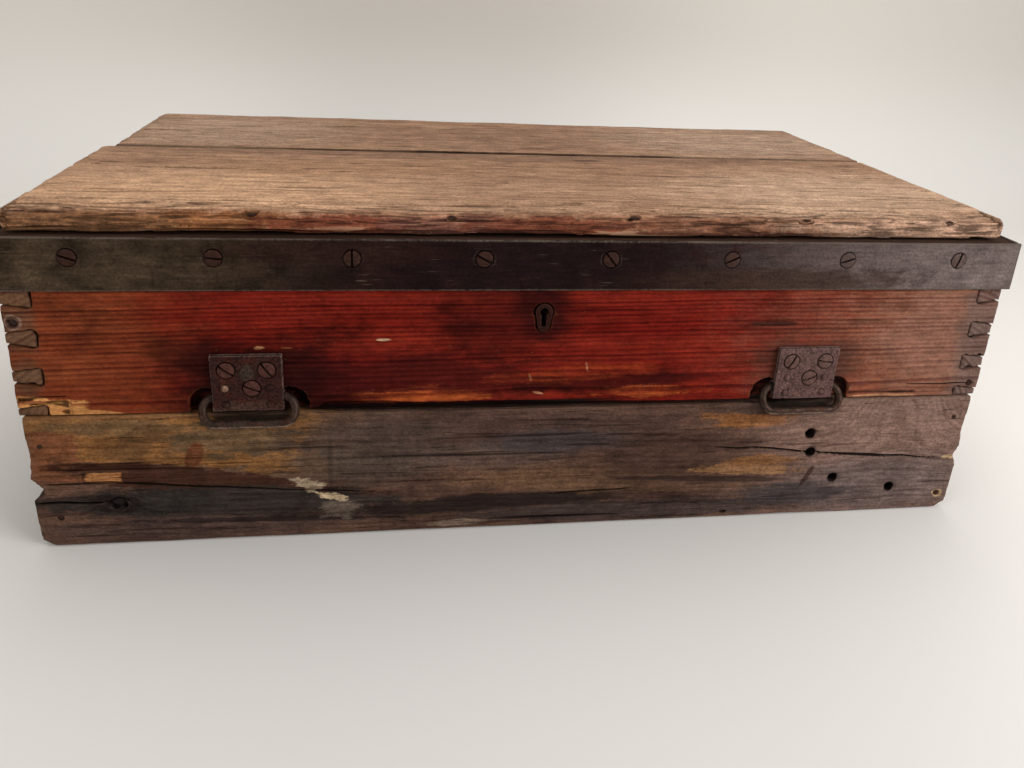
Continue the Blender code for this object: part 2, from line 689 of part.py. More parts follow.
def hinge_leaf(name, x, base, top, own, steel, axis=None):
    """A hinge leaf: its plate, and the knuckles whose numbers are in own, bored for the pin."""
    low_y = HINGE_Y - HINGE_LEAF_REACH
    plate_end = HINGE_Y - KNUCKLE_RELIEF
    start = x - HINGE_LENGTH / 2
    pitch = HINGE_LENGTH / KNUCKLE_COUNT
    leaf = add_piece(name, box((start, low_y, base), (start + HINGE_LENGTH, plate_end, top)), steel, axis)
    arms = []
    knuckles = []
    for i in own:
        low = start + i * pitch + (CLEARANCE / 2 if i else 0)
        high = start + (i + 1) * pitch - (CLEARANCE / 2 if i < KNUCKLE_COUNT - 1 else 0)
        arms.append(box((low, plate_end - HINGE_LEAF_THICKNESS, base), (high, HINGE_Y, top)))
        knuckles.append(prism("X", disc((HINGE_Y, HINGE_Z), KNUCKLE_RADIUS, KNUCKLE_SIDES), low, high))
    join(leaf, *arms)
    join(leaf, *knuckles)
    bore = disc((HINGE_Y, HINGE_Z), HINGE_PIN_RADIUS + CLEARANCE, KNUCKLE_SIDES)
    cut(leaf, prism("X", bore, start - OVERCUT, start + HINGE_LENGTH + OVERCUT))


def make_hinges(steel, axis):
    """Two butt hinges with their pins."""
    for name, x in (("left", -HINGE_X), ("right", HINGE_X)):
        case_own = range(0, KNUCKLE_COUNT, 2)
        lid_own = range(1, KNUCKLE_COUNT, 2)
        hinge_leaf(f"hinge_case_leaf_{name}", x, RIM - HINGE_LEAF_THICKNESS, RIM, case_own, steel)
        hinge_leaf(
            f"hinge_lid_leaf_{name}", x, LID_BASE, LID_BASE + HINGE_LEAF_THICKNESS, lid_own, steel, axis
        )
        half = HINGE_LENGTH / 2
        outline = disc((HINGE_Y, HINGE_Z), HINGE_PIN_RADIUS, KNUCKLE_SIDES)
        pin = add_piece(f"hinge_pin_{name}", prism("X", outline, x - half, x + half), steel)
        shade_round(pin)


def make_lock(iron, axis):
    """The lock's plate, cap, key pin and escutcheon, and the bolt with its spring, drawn back at rest."""
    half = LOCK_PLATE_WIDTH / 2
    profile = [
        (FRONT_INSIDE, RIM - LOCK_PLATE_HEIGHT),
        (FRONT_INSIDE, RIM),
        (LOCK_FRONT, RIM),
        (LOCK_FRONT, LOCK_FLANGE_BASE),
        (LOCK_PLATE_FRONT, LOCK_FLANGE_BASE),
        (LOCK_PLATE_FRONT, RIM - LOCK_PLATE_HEIGHT),
    ]
    plate = add_piece("lock_plate", prism("X", profile, -half, half), iron)
    slot_x = LOOP_THICKNESS / 2 + LOOP_ROOM
    slot_y = LOOP_WIDTH / 2 + LOOP_ROOM
    slots = [
        box(
            (x - slot_x, LOCK_MIDDLE - slot_y, LOCK_FLANGE_BASE - OVERCUT / 2),
            (x + slot_x, LOCK_MIDDLE + slot_y, RIM + OVERCUT),
        )
        for x in (-LOOP_X, LOOP_X)
    ]
    pin_hole = disc((0, KEY_PIN_Z), KEY_PIN_RADIUS + CLEARANCE, ROUND_STEPS)
    cut(plate, *slots, prism("Y", pin_hole, LOCK_PLATE_FRONT - OVERCUT / 2, FRONT_INSIDE + OVERCUT))

    pin_outline = disc((0, KEY_PIN_Z), KEY_PIN_RADIUS, ROUND_STEPS)
    pin_end = FRONT_INSIDE - KEY_PIN_LENGTH
    pin = add_piece("lock_key_pin", prism("Y", pin_outline, pin_end, FRONT_INSIDE), iron)
    shade_round(pin)

    cap_half = LOCK_CAP_WIDTH / 2
    cap_base = LOCK_CAP_TOP - LOCK_CAP_HEIGHT
    cap = add_piece(
        "lock_cap",
        box((-cap_half, LOCK_FRONT, cap_base), (cap_half, LOCK_CAP_BACK, LOCK_CAP_TOP)),
        iron,
    )
    room = cap_half - LOCK_CAP_WALL
    low = (-room, LOCK_FRONT + LOCK_CAP_WALL, cap_base + LOCK_CAP_WALL)
    cut(cap, box(low, (room, LOCK_CAP_BACK + OVERCUT, LOCK_CAP_TOP + OVERCUT)))
    keyhole = keyhole_outline(KEYHOLE_RADIUS, KEYHOLE_SLOT_WIDTH, KEYHOLE_SLOT_DROP)
    cut(cap, prism("Y", keyhole, LOCK_FRONT - OVERCUT, LOCK_FRONT + LOCK_CAP_WALL + OVERCUT / 2))

    face = FRONT - ESCUTCHEON_STANDS_PROUD
    back = FRONT + ESCUTCHEON_DEPTH
    escutcheon = add_piece("keyhole_escutcheon", prism("Y", escutcheon_outline(0), face, back), iron)
    cut(escutcheon, prism("Y", keyhole, face - OVERCUT, back + OVERCUT))

    make_bolt(iron, axis)


def make_bolt(iron, axis):
    """The bolt, with one prong for each loop of the keeper, and the leaf spring on its back."""
    bar_base = BOLT_BAR_TOP - BOLT_BAR_HEIGHT
    prong_top = BOLT_PRONG_BASE + BOLT_PRONG_HEIGHT
    tips = [x - LOOP_THICKNESS / 2 - BOLT_REST_GAP for x in (-LOOP_X, LOOP_X)]
    roots = [tip - BOLT_PRONG_LENGTH for tip in tips]
    start = roots[0] - BOLT_POST_WIDTH
    outline = [
        (start, bar_base),
        (roots[1], bar_base),
        (roots[1], BOLT_PRONG_BASE),
        (tips[1], BOLT_PRONG_BASE),
        (tips[1], prong_top),
        (roots[1] - BOLT_POST_WIDTH, prong_top),
        (roots[1] - BOLT_POST_WIDTH, BOLT_BAR_TOP),
        (roots[0], BOLT_BAR_TOP),
        (roots[0], BOLT_PRONG_BASE),
        (tips[0], BOLT_PRONG_BASE),
        (tips[0], prong_top),
        (start, prong_top),
    ]
    front = LOCK_MIDDLE - BOLT_THICKNESS / 2
    back = LOCK_MIDDLE + BOLT_THICKNESS / 2
    shape = prism("Y", outline, front, back)
    bolt = add_piece("lock_bolt", shape, iron, axis)
    shelf_low = (start, LOCK_MIDDLE, bar_base)
    join(bolt, box(shelf_low, (roots[1], LOCK_CAP_BACK, BOLT_BAR_TOP)))

    end = roots[1] - BOLT_POST_WIDTH - CLEARANCE
    seat = BOLT_BAR_TOP + CLEARANCE
    rise = LOCK_CAP_TOP - SPRING_THICKNESS - seat
    lower = []
    upper = []
    for i in range(SPRING_STEPS + 1):
        share = i / SPRING_STEPS
        x = end - share * SPRING_LENGTH
        z = seat + rise * share * share
        lower.append((x, z))
        upper.append((x, z + SPRING_THICKNESS))
    add_piece("lock_bolt_spring", prism("Y", lower + upper[::-1], front, back), iron, axis)


def make_keeper(iron, axis):
    """The plate under the lid's front rail with the two loops that the bolt catches."""
    half = KEEPER_WIDTH / 2
    depth = KEEPER_DEPTH / 2
    top = LID_BASE + KEEPER_THICKNESS
    shape = box((-half, LOCK_MIDDLE - depth, LID_BASE), (half, LOCK_MIDDLE + depth, top))
    keeper = add_piece("lock_keeper", shape, iron, axis)
    loops = []
    eyes = []
    for x in (-LOOP_X, LOOP_X):
        near, far = x - LOOP_THICKNESS / 2, x + LOOP_THICKNESS / 2
        width = LOOP_WIDTH / 2
        hole = width - LOOP_FRAME
        low = (near, LOCK_MIDDLE - width, LOOP_BASE)
        loops.append(box(low, (far, LOCK_MIDDLE + width, LID_BASE + KEEPER_THICKNESS / 2)))
        low = (near - OVERCUT, LOCK_MIDDLE - hole, LOOP_BASE + LOOP_FRAME)
        eye_top = BOLT_PRONG_BASE + BOLT_PRONG_HEIGHT + BOLT_ROOM
        eyes.append(box(low, (far + OVERCUT, LOCK_MIDDLE + hole, eye_top)))
    join(keeper, *loops)
    cut(keeper, *eyes)


def ring_shape(x):
    """A rounded rectangle of round bar, hanging at its rest tilt from the bar in its channel."""
    radius = RING_CORNER_RADIUS
    span = RING_HALF_SPAN - radius
    corners = (
        ((span, -radius), 90, 0),
        ((span, -RING_DROP + radius), 0, -90),
        ((-span, -RING_DROP + radius), -90, -180),
        ((-span, -radius), -180, -270),
    )
    shape = bmesh.new()
    rings = []
    sine, cosine = math.sin(RING_REST_TILT), math.cos(RING_REST_TILT)
    for centre, start, end in corners:
        for (u, v), angle in zip(
            arc(centre, radius, start, end, RING_CORNER_STEPS),
            [start + (end - start) * i / RING_CORNER_STEPS for i in range(RING_CORNER_STEPS + 1)],
        ):
            out_u, out_v = math.cos(math.radians(angle)), math.sin(math.radians(angle))
            section = []
            for a, b in disc((0, 0), RING_BAR_RADIUS, RING_SIDES):
                across, along = u + a * out_u, v + a * out_v
                y = RING_PIVOT_Y + along * sine + b * cosine
                z = RING_PIVOT_Z + along * cosine - b * sine
                section.append(shape.verts.new((x + across, y, z)))
            rings.append(section)
    for i, near in enumerate(rings):
        far = rings[(i + 1) % len(rings)]
        for j in range(RING_SIDES):
            k = (j + 1) % RING_SIDES
            shape.faces.new((near[j], near[k], far[k], far[j]))
    bmesh.ops.recalc_face_normals(shape, faces=shape.faces)
    return shape


def backing_profile():
    """The backing plate in Y and Z: flat, with a half-round channel pressed into the wood for the bar."""
    base = RING_PLATE_BASE
    top = RING_PLATE_BASE + RING_PLATE_HEIGHT
    pivot = (RING_PIVOT_Y, RING_PIVOT_Z)
    outer = arc(pivot, RING_BUMP_RADIUS, 90, -90, ROUND_STEPS)
    inner = arc(pivot, RING_CHANNEL_RADIUS, -90, 90, ROUND_STEPS)
    return [
        (RING_BACKING_BACK, top),
        (RING_BACKING_BACK, RING_PIVOT_Z + RING_BUMP_RADIUS),
        *outer,
        (RING_BACKING_BACK, RING_PIVOT_Z - RING_BUMP_RADIUS),
        (RING_BACKING_BACK, base),
        (RING_BACKING_FRONT, base),
        (RING_BACKING_FRONT, RING_PIVOT_Z - RING_CHANNEL_RADIUS),
        *inner,
        (RING_BACKING_FRONT, RING_PIVOT_Z + RING_CHANNEL_RADIUS),
        (RING_BACKING_FRONT, top),
    ]


def make_ring_handle(name, x, iron, screw_steel):
    """One ring with its plates and screws. The ring's empty lies on the axis of its upper bar."""
    half = RING_PLATE_WIDTH / 2
    places = ring_screw_places(x)
    low = (x - half, RING_PLATE_FRONT, RING_PLATE_BASE)
    high = (x + half, RING_PLATE_BACK, RING_PLATE_BASE + RING_PLATE_HEIGHT)
    plate = add_piece(f"ring_plate_{name}", box(low, high), iron)
    cut(plate, *[screw_room(a, b, RING_PLATE_FRONT) for a, b in places])
    backing = add_piece(f"ring_backing_{name}", prism("X", backing_profile(), x - half, x + half), iron)
    cut(backing, *[screw_room(a, b, RING_PLATE_FRONT) for a, b in places])
    for i, (a, b) in enumerate(places):
        turn = (i + 2) * SCREW_SLOT_TURN
        make_screw(f"ring_screw_{name}_{i + 1}", a, b, RING_PLATE_FRONT, turn, screw_steel)
    axis = make_axis(f"ring_{name}_axis", (x, RING_PIVOT_Y, RING_PIVOT_Z))
    ring = add_piece(f"ring_{name}", ring_shape(x), iron, axis)
    shade_round(ring)


def main():
    """Builds the whole chest, shut, with the bolt drawn back and the rings hanging."""
    clear_scene()
    varnished = make_material("varnished_pine", (0.36, 0.10, 0.035), 0.45)
    weathered = make_material("weathered_pine", (0.16, 0.12, 0.085), 0.8)
    lid_wood = make_material("bare_lid_boards", (0.42, 0.29, 0.18), 0.75)
    inner_wood = make_material("inner_pine", (0.38, 0.25, 0.13), 0.7)
    band_steel = make_material("dark_band_steel", (0.06, 0.055, 0.045), 0.5, 0.9)
    rusty_iron = make_material("rusty_iron", (0.11, 0.06, 0.04), 0.6, 0.8)
    screw_steel = make_material("rusty_screws", (0.15, 0.09, 0.06), 0.55, 0.85)
    lid_axis = make_axis("lid_axis", (0, HINGE_Y, HINGE_Z))
    bolt_axis = make_axis("lock_bolt_axis", (0, LOCK_MIDDLE, BOLT_BAR_TOP))
    make_lower_course(weathered)
    make_upper_course(varnished)
    make_tongues(inner_wood)
    make_bottom(inner_wood)
    make_lid_rim(inner_wood, lid_axis)
    make_lid_boards(lid_wood, lid_axis)
    make_band(band_steel, screw_steel, lid_axis)
    make_hinges(rusty_iron, lid_axis)
    make_lock(rusty_iron, bolt_axis)
    make_keeper(rusty_iron, lid_axis)
    for name, x in (("left", -RING_X), ("right", RING_X)):
        make_ring_handle(name, x, rusty_iron, screw_steel)


main()
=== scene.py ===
"""Looks of a weathered tool chest: worn boards, steel band, ring handles, hinges and lock.

Units are metres, +Z is up and -Y is the front, as in the frame that the pieces are built around.
"""

from __future__ import annotations

import json
import logging
import math
from collections.abc import Iterable, Sequence
from dataclasses import dataclass
from enum import Enum

import bmesh
import bpy
import numpy as np
from mathutils import Matrix, Vector


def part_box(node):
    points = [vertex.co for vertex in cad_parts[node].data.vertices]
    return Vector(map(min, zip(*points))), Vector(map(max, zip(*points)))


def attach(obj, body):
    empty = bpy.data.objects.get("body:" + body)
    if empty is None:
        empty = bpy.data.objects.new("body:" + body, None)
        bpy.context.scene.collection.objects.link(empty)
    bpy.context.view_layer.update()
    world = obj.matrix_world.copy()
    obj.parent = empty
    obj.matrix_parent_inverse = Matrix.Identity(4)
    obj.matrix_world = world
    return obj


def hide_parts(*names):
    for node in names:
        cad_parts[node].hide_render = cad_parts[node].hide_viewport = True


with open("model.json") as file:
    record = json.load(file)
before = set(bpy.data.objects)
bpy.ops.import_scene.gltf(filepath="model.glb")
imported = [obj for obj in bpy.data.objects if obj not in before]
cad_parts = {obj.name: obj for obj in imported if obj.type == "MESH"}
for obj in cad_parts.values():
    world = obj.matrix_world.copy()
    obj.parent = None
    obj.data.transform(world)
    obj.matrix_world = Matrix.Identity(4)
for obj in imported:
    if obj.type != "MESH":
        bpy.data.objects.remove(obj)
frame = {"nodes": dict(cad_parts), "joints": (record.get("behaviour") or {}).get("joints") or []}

LOG = logging.getLogger("tool_chest")
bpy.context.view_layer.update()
MM = 0.001
CLEARANCE = 0.3 * MM
RELIEF = "relief"

Colour = tuple[float, float, float]
Socket = bpy.types.NodeSocket
Feeds = dict[str | int, object]
Value = "Field | float"


class Axis(Enum):
    """An axis of the frame, as the column of a place."""

    X = 0
    Y = 1
    Z = 2


class Face(Enum):
    """A side of a board, as its axis and the sign of its outward direction."""

    LEFT = (Axis.X, -1)
    RIGHT = (Axis.X, 1)
    FRONT = (Axis.Y, -1)
    BACK = (Axis.Y, 1)
    UNDER = (Axis.Z, -1)
    TOP = (Axis.Z, 1)

    @property
    def column(self) -> int:
        """The column of the axis that the face is square to."""
        return self.value[0].value

    @property
    def sign(self) -> int:
        """The sign of the outward direction."""
        return self.value[1]

    @property
    def in_plane(self) -> list[int]:
        """The two columns that lie in the face."""
        return [axis.value for axis in Axis if axis.value != self.column]


LEFT, RIGHT, FRONT, BACK, UNDER, TOP = Face


class Body(Enum):
    """The bodies that pieces ride on."""

    CASE = "case"
    LID = "lid"
    RING_LEFT = "ring_left"
    RING_RIGHT = "ring_right"


class Slot(Enum):
    """The record's material slots."""

    WEATHERED = "weathered_pine"
    VARNISHED = "varnished_pine"
    LID = "lid_pine"
    INNER = "inner_pine"
    BAND = "band_steel"
    IRON = "rusty_iron"
    SCREW = "screw_steel"


class Noise:
    """Smooth value noise in space that is the same on every run."""

    SIZE = 4096
    PRIMES = (73856093, 19349663, 83492791)
    FINER = 2.03
    SHIFT = 17.1

    def __init__(self, seed: int) -> None:
        """Draws the values of the lattice."""
        self.values = np.random.default_rng(seed).uniform(-1.0, 1.0, self.SIZE)

    def __call__(self, points: np.ndarray, waves: Sequence[float], octaves: int = 1) -> np.ndarray:
        """Noise at a set of places.

        Args:
            points: Places in metres, one row each.
            waves: Waves per metre along X, Y and Z.
            octaves: Layers, each about twice as fine and half as strong as the one before.

        Returns:
            One value from about -1 to 1 for each place.
        """
        total = np.zeros(len(points))
        strength = 1.0
        place = points * np.asarray(waves)
        for _ in range(octaves):
            total += strength * self._layer(place)
            place = place * self.FINER + self.SHIFT
            strength /= 2
        return total / (2 - 2 * strength)

    def _layer(self, place: np.ndarray) -> np.ndarray:
        """One layer of noise on a lattice of unit cells."""
        cell = np.floor(place).astype(np.int64)
        part = place - cell
        part = part * part * (3 - 2 * part)
        total = np.zeros(len(place))
        for corner in np.ndindex(2, 2, 2):
            key = (cell + corner) * self.PRIMES
            index = (key[:, 0] ^ key[:, 1] ^ key[:, 2]) % self.SIZE
            weight = np.prod(np.where(corner, part, 1 - part), axis=1)
            total += weight * self.values[index]
        return total


def smoothstep(values: np.ndarray, start: float, end: float) -> np.ndarray:
    """Rises from 0 at start to 1 at end with soft shoulders, or falls where end lies below start."""
    share = np.clip((values - start) / (end - start), 0.0, 1.0)
    return share * share * (3 - 2 * share)


def terraces(values: np.ndarray, steps: int) -> np.ndarray:
    """Turns a smooth height into flakes: flat treads with short risers between them."""
    scaled = values * steps
    tread = np.floor(scaled)
    return (tread + (scaled - tread) ** 5) / steps


def add_object(name: str, data: bpy.types.ID) -> bpy.types.Object:
    """Puts a mesh, a light or a camera into the scene."""
    made = bpy.data.objects.new(name, data)
    bpy.context.scene.collection.objects.link(made)
    return made


def evaluated(piece: bpy.types.Object, whole: bool = False) -> bpy.types.Mesh:
    """The plain mesh that an object's modifiers make.

    Args:
        piece: The object.
        whole: Whether the mesh keeps all its layers.

    Returns:
        A new mesh.
    """
    graph = bpy.context.evaluated_depsgraph_get()
    return bpy.data.meshes.new_from_object(
        piece.evaluated_get(graph), preserve_all_data_layers=whole, depsgraph=graph
    )


def read_mesh(mesh: bpy.types.Mesh) -> tuple[np.ndarray, np.ndarray]:
    """The points and the normals of a mesh, one row each."""
    flat = np.empty(len(mesh.vertices) * 3, np.float32)
    mesh.vertices.foreach_get("co", flat)
    points = flat.reshape(-1, 3).astype(float)
    mesh.vertex_normals.foreach_get("vector", flat)
    return points, flat.reshape(-1, 3).astype(float)


def write_mesh(mesh: bpy.types.Mesh, points: np.ndarray) -> None:
    """Gives moved points back to a mesh."""
    mesh.vertices.foreach_set("co", points.astype(np.float32).ravel())
    mesh.update()


def store_relief(mesh: bpy.types.Mesh, relief: np.ndarray) -> None:
    """Puts a relief value on each point, for the finish to read."""
    carried = mesh.attributes.new(RELIEF, "FLOAT", "POINT")
    carried.data.foreach_set("value", relief.astype(np.float32))


def keep(piece: bpy.types.Object, body: Body, nodes: Sequence[str] = ()) -> None:
    """Makes a piece ride on its body, in the place of the nodes that it stands for.

    Args:
        piece: The piece.
        body: The body that it moves with.
        nodes: The nodes that it replaces.
    """
    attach(piece, body.value)
    if nodes:
        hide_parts(*nodes)
    LOG.info("%s: %d faces on %s", piece.name, len(piece.data.polygons), body.value)


class Field:
    """A value in a node tree that can be reckoned with like a number."""

    def __init__(self, nodes: Nodes, socket: Socket) -> None:
        """Takes the tree, and the socket that gives the value."""
        self.nodes = nodes
        self.socket = socket

    def __add__(self, other: Value) -> Field:
        """The sum of two values."""
        return self.nodes.math("ADD", self, other)

    def __sub__(self, other: Value) -> Field:
        """This value less the other."""
        return self.nodes.math("SUBTRACT", self, other)

    def __mul__(self, other: Value) -> Field:
        """The product of two values."""
        return self.nodes.math("MULTIPLY", self, other)

    def __truediv__(self, other: Value) -> Field:
        """This value divided by the other."""
        return self.nodes.math("DIVIDE", self, other)


class Nodes:
    """A node tree, with short calls for making its nodes and feeding them."""

    def __init__(self, tree: bpy.types.NodeTree) -> None:
        """Takes the tree that the nodes go into."""
        self.tree = tree

    def feed(self, socket: Socket, value: object) -> None:
        """Links a socket to a field, or sets its value."""
        if isinstance(value, Field):
            self.tree.links.new(value.socket, socket)
        elif isinstance(value, tuple) and socket.type == "RGBA":
            socket.default_value = (*value, 1.0)
        else:
            socket.default_value = value

    def node(self, kind: str, feeds: Feeds | None = None, **settings: object) -> bpy.types.Node:
        """Adds a node.

        Args:
            kind: The node's type.
            feeds: What goes into its inputs, by their names or numbers.
            settings: Its properties, which are set first.

        Returns:
            The node.
        """
        made = self.tree.nodes.new(kind)
        for key, value in settings.items():
            setattr(made, key, value)
        for key, value in (feeds or {}).items():
            self.feed(made.inputs[key], value)
        return made

    def take(self, kind: str, feeds: Feeds | None = None, output: str | int = 0, **settings: object) -> Field:
        """One output of a new node."""
        return Field(self, self.node(kind, feeds, **settings).outputs[output])

    def math(self, operation: str, a: Value, b: Value = 0.0) -> Field:
        """One step of arithmetic."""
        return self.take("ShaderNodeMath", {0: a, 1: b}, operation=operation)


class Graph(Nodes):
    """A material's node tree, with the nodes that the finishes use."""

    def __init__(self, name: str) -> None:
        """Makes the material with its shader and output."""
        self.material = bpy.data.materials.new(name)
        self.material.use_nodes = True
        super().__init__(self.material.node_tree)
        self.tree.nodes.clear()
        self.shader = self.node("ShaderNodeBsdfPrincipled")
        self.node("ShaderNodeOutputMaterial", {"Surface": Field(self, self.shader.outputs["BSDF"])})

    def put(self, name: str, value: object) -> None:
        """Feeds one input of the shader."""
        self.feed(self.shader.inputs[name], value)

    def place(self) -> Field:
        """The place in the object's own coordinates, which are the frame's."""
        return self.take("ShaderNodeTexCoord", output="Object")

    def split(self, vector: Field) -> list[Field]:
        """The three parts of a vector."""
        return [Field(self, part) for part in self.node("ShaderNodeSeparateXYZ", {0: vector}).outputs]

    def join(self, *parts: Value) -> Field:
        """A vector from three parts."""
        return self.take("ShaderNodeCombineXYZ", dict(enumerate(parts)))

    def stretch(self, vector: Field, factors: Sequence[float], shift: Sequence[float] = (0, 0, 0)) -> Field:
        """A vector times factors, plus a shift."""
        return self.take("ShaderNodeVectorMath", {0: vector, 1: factors, 2: shift}, operation="MULTIPLY_ADD")

    def span(self, value: Value, start: float, end: float, low: float = 0.0, high: float = 1.0,
             soft: bool = True) -> Field:
        """Maps a range of values to another.

        Args:
            value: The value.
            start: Where the range starts.
            end: Where it ends.
            low: The result at the start.
            high: The result at the end.
            soft: Whether the rise has soft shoulders.

        Returns:
            The mapped value.
        """
        kind = "SMOOTHSTEP" if soft else "LINEAR"
        feeds = dict(enumerate((value, start, end, low, high)))
        return self.take("ShaderNodeMapRange", feeds, interpolation_type=kind)

    def noise(self, vector: Field, waves: Sequence[float], detail: float = 3.0, rough: float = 0.55,
              shift: float = 0.0) -> Field:
        """Noise from 0 to 1 with its own waves per metre along each part of the vector."""
        place = self.stretch(vector, waves, (shift, shift * 0.7, shift * 1.3))
        feeds = {"Vector": place, "Scale": 1.0, "Detail": detail, "Roughness": rough}
        return self.take("ShaderNodeTexNoise", feeds)

    def mix(self, share: Value, a: object, b: object) -> Field:
        """A colour between two colours."""
        return self.take("ShaderNodeMix", {0: share, 6: a, 7: b}, 2, data_type="RGBA")

    def shade(self, colour: object, factor: Value) -> Field:
        """A colour made lighter or darker by a factor."""
        return self.take("ShaderNodeVectorMath", {0: colour, "Scale": factor}, operation="SCALE")

    def vary(self, colour: object, value: Field, share: float, span: Sequence[float] = (0.28, 0.72)) -> Field:
        """A colour made lighter and darker by a share, as a noise falls and rises."""
        return self.shade(colour, self.span(value, *span, 1 - share, 1 + share, soft=False))

    def tint(self, colour: Field, by: Colour) -> Field:
        """A colour times another."""
        return self.stretch(colour, by)

    def attribute(self, name: str) -> Field:
        """A value that the piece's own mesh carries."""
        return self.take("ShaderNodeAttribute", output="Fac", attribute_name=name)

    def bump(self, height: Field, distance: float) -> None:
        """Feeds the shader's normal with a height in shares of a distance."""
        self.put("Normal", self.take("ShaderNodeBump", {"Distance": distance, "Height": height}))


@dataclass(frozen=True)
class PineLog:
    """Where a board was sawn from its log.

    The pith is given in the two axes across the grain, in X, Y, Z order. A knot is a place along the grain and
    in the last axis across it, a size, and how far the rings swing round it. The width of a ring and the sway of
    the rings are in millimetres.
    """

    grain: Axis
    pith: tuple[float, float]
    ring: float = 4.2
    sway: float = 5.0
    tilt: float = 0.0
    seed: float = 0.0
    knots: tuple[tuple[float, float, float, float], ...] = ()
    check_waves: float = 330.0


@dataclass(frozen=True)
class Grain:
    """The fields that a log gives to the finishes on it."""

    vector: Field
    late: Field
    fibre: Field
    broad: Field
    cloud: Field
    streak: Field
    checks: Field
    grit: Field
    blotch: Field
    specks: Field

    @classmethod
    def of(cls, graph: Graph, log: PineLog) -> Grain:
        """Works out the growth rings, fibres and patches of a log.

        Args:
            graph: The material that they are for.
            log: The log, with its pith and ring width.

        Returns:
            The grain's fields, from 0 to 1 apart from the vector.
        """
        parts = graph.split(graph.place())
        along = parts[log.grain.value]
        a, b = [part for axis, part in zip(Axis, parts) if axis is not log.grain]
        vector = graph.join(along, a, b)
        seed = log.seed
        slow = graph.noise(vector, (1.7, 7, 7), 2, shift=seed)
        quick = graph.noise(vector, (9, 28, 28), 2, shift=seed + 3)
        drift = log.sway * MM
        sway = (slow - 0.5) * (2 * drift) + (quick - 0.5) * (0.5 * drift)
        off_a = a - log.pith[0]
        off_b = b - log.pith[1] - along * log.tilt
        radius = graph.math("SQRT", off_a * off_a + off_b * off_b) + sway
        for place, across, size, swing in log.knots:
            u, v = along - place, b - across
            near = graph.math("EXPONENT", (u * u + v * v) * (-1 / size ** 2))
            radius = radius + near * swing
        phase = radius * (1 / (log.ring * MM))
        share = graph.math("FRACT", phase)
        number = graph.math("FLOOR", phase) + seed
        chance = graph.take("ShaderNodeTexWhiteNoise", {"W": number}, noise_dimensions="1D")
        rise = graph.span(share, 0.3, 0.72) * graph.span(share, 1.0, 0.93)
        late = rise * graph.span(chance, 0, 1, 0.25, 1.0, soft=False)
        return cls(
            vector=vector,
            late=late,
            fibre=graph.noise(vector, (75, 520, 520), 6, 0.72, shift=seed + 7),
            broad=graph.noise(vector, (3.5, 60, 60), 5, 0.66, shift=seed + 11),
            cloud=graph.noise(vector, (12, 26, 26), 8, 0.7, shift=seed + 19),
            streak=graph.noise(vector, (13, 150, 150), 7, 0.7, shift=seed + 29),
            checks=graph.span(
                graph.noise(vector, (14, log.check_waves, log.check_waves), 5, 0.62, shift=seed + 23), 0.6, 0.66
            ),
            specks=graph.span(graph.noise(vector, (380, 460, 460), 1, 0.5, shift=seed + 53), 0.74, 0.78),
            grit=graph.noise(vector, (430, 620, 620), 4, 0.75, shift=seed + 37),
            blotch=graph.noise(vector, (55, 75, 75), 7, 0.72, shift=seed + 43),
        )


@dataclass(frozen=True)
class WoodFinish:
    """The colours and the surface of one finish on pine.

    The late wood is a tint on whatever lies under it, and the grime is a colour of its own.
    """

    early: Colour
    second: Colour
    late: Colour
    grime: Colour
    late_share: float = 0.8
    grime_share: float = 0.5
    grime_from: float = 0.52
    streak: float = 0.3
    fibre: float = 0.25
    grit: float = 0.3
    blotch: float = 0.15
    check_share: float = 0.6
    speck: Colour = (0.34, 0.21, 0.12)
    speck_share: float = 0.4
    roughness: float = 0.7
    gloss: float = 0.2

    def ground(self, graph: Graph, grain: Grain) -> Field:
        """The colour under the grain's lines, with the grime on it."""
        tone = graph.mix(graph.span(grain.broad, 0.3, 0.7), self.second, self.early)
        dirt_and_painted_shade = graph.span(grain.cloud, self.grime_from, self.grime_from + 0.16, 0.0, self.grime_share)
        return graph.mix(dirt_and_painted_shade, tone, self.grime)

    def figure(self, graph: Graph, grain: Grain, tone: Field, fade: Value = 1.0) -> Field:
        """The growth rings, streaks, fibres, grit and checks over a ground colour.

        Args:
            graph: The material.
            grain: The log's grain.
            tone: The ground colour.
            fade: How much of the growth rings is left.

        Returns:
            The colour with its figure.
        """
        late = grain.late * self.late_share * fade
        lined = graph.mix(late, tone, graph.tint(tone, self.late))
        for part in ("streak", "fibre", "grit", "blotch"):
            lined = graph.vary(lined, getattr(grain, part), getattr(self, part))
        lined = graph.mix(grain.checks * self.check_share, lined, graph.tint(lined, (0.28, 0.2, 0.18)))
        return graph.mix(grain.specks * self.speck_share, lined, self.speck)


BARE_PINE = WoodFinish(
    early=(0.34, 0.21, 0.11), second=(0.25, 0.145, 0.07), late=(0.62, 0.5, 0.42), grime=(0.11, 0.068, 0.042),
    grime_share=0.75, streak=0.22, roughness=0.8,
)
RED_VARNISH = WoodFinish(
    early=(0.18, 0.017, 0.0085), second=(0.112, 0.0055, 0.0032), late=(0.28, 0.12, 0.2),
    grime=(0.03, 0.0022, 0.0018), late_share=0.8, grime_share=0.7, grime_from=0.49, streak=0.22, fibre=0.22,
    grit=0.28, blotch=0.34, check_share=0.25, speck_share=0.1, roughness=0.5, gloss=0.025,
)
BROWN_VARNISH = WoodFinish(
    early=(0.205, 0.05, 0.018), second=(0.14, 0.026, 0.009), late=(0.42, 0.25, 0.22), grime=(0.042, 0.009, 0.005),
    late_share=0.75, streak=0.22, grit=0.28, blotch=0.34, check_share=0.3, roughness=0.55, gloss=0.05,
)
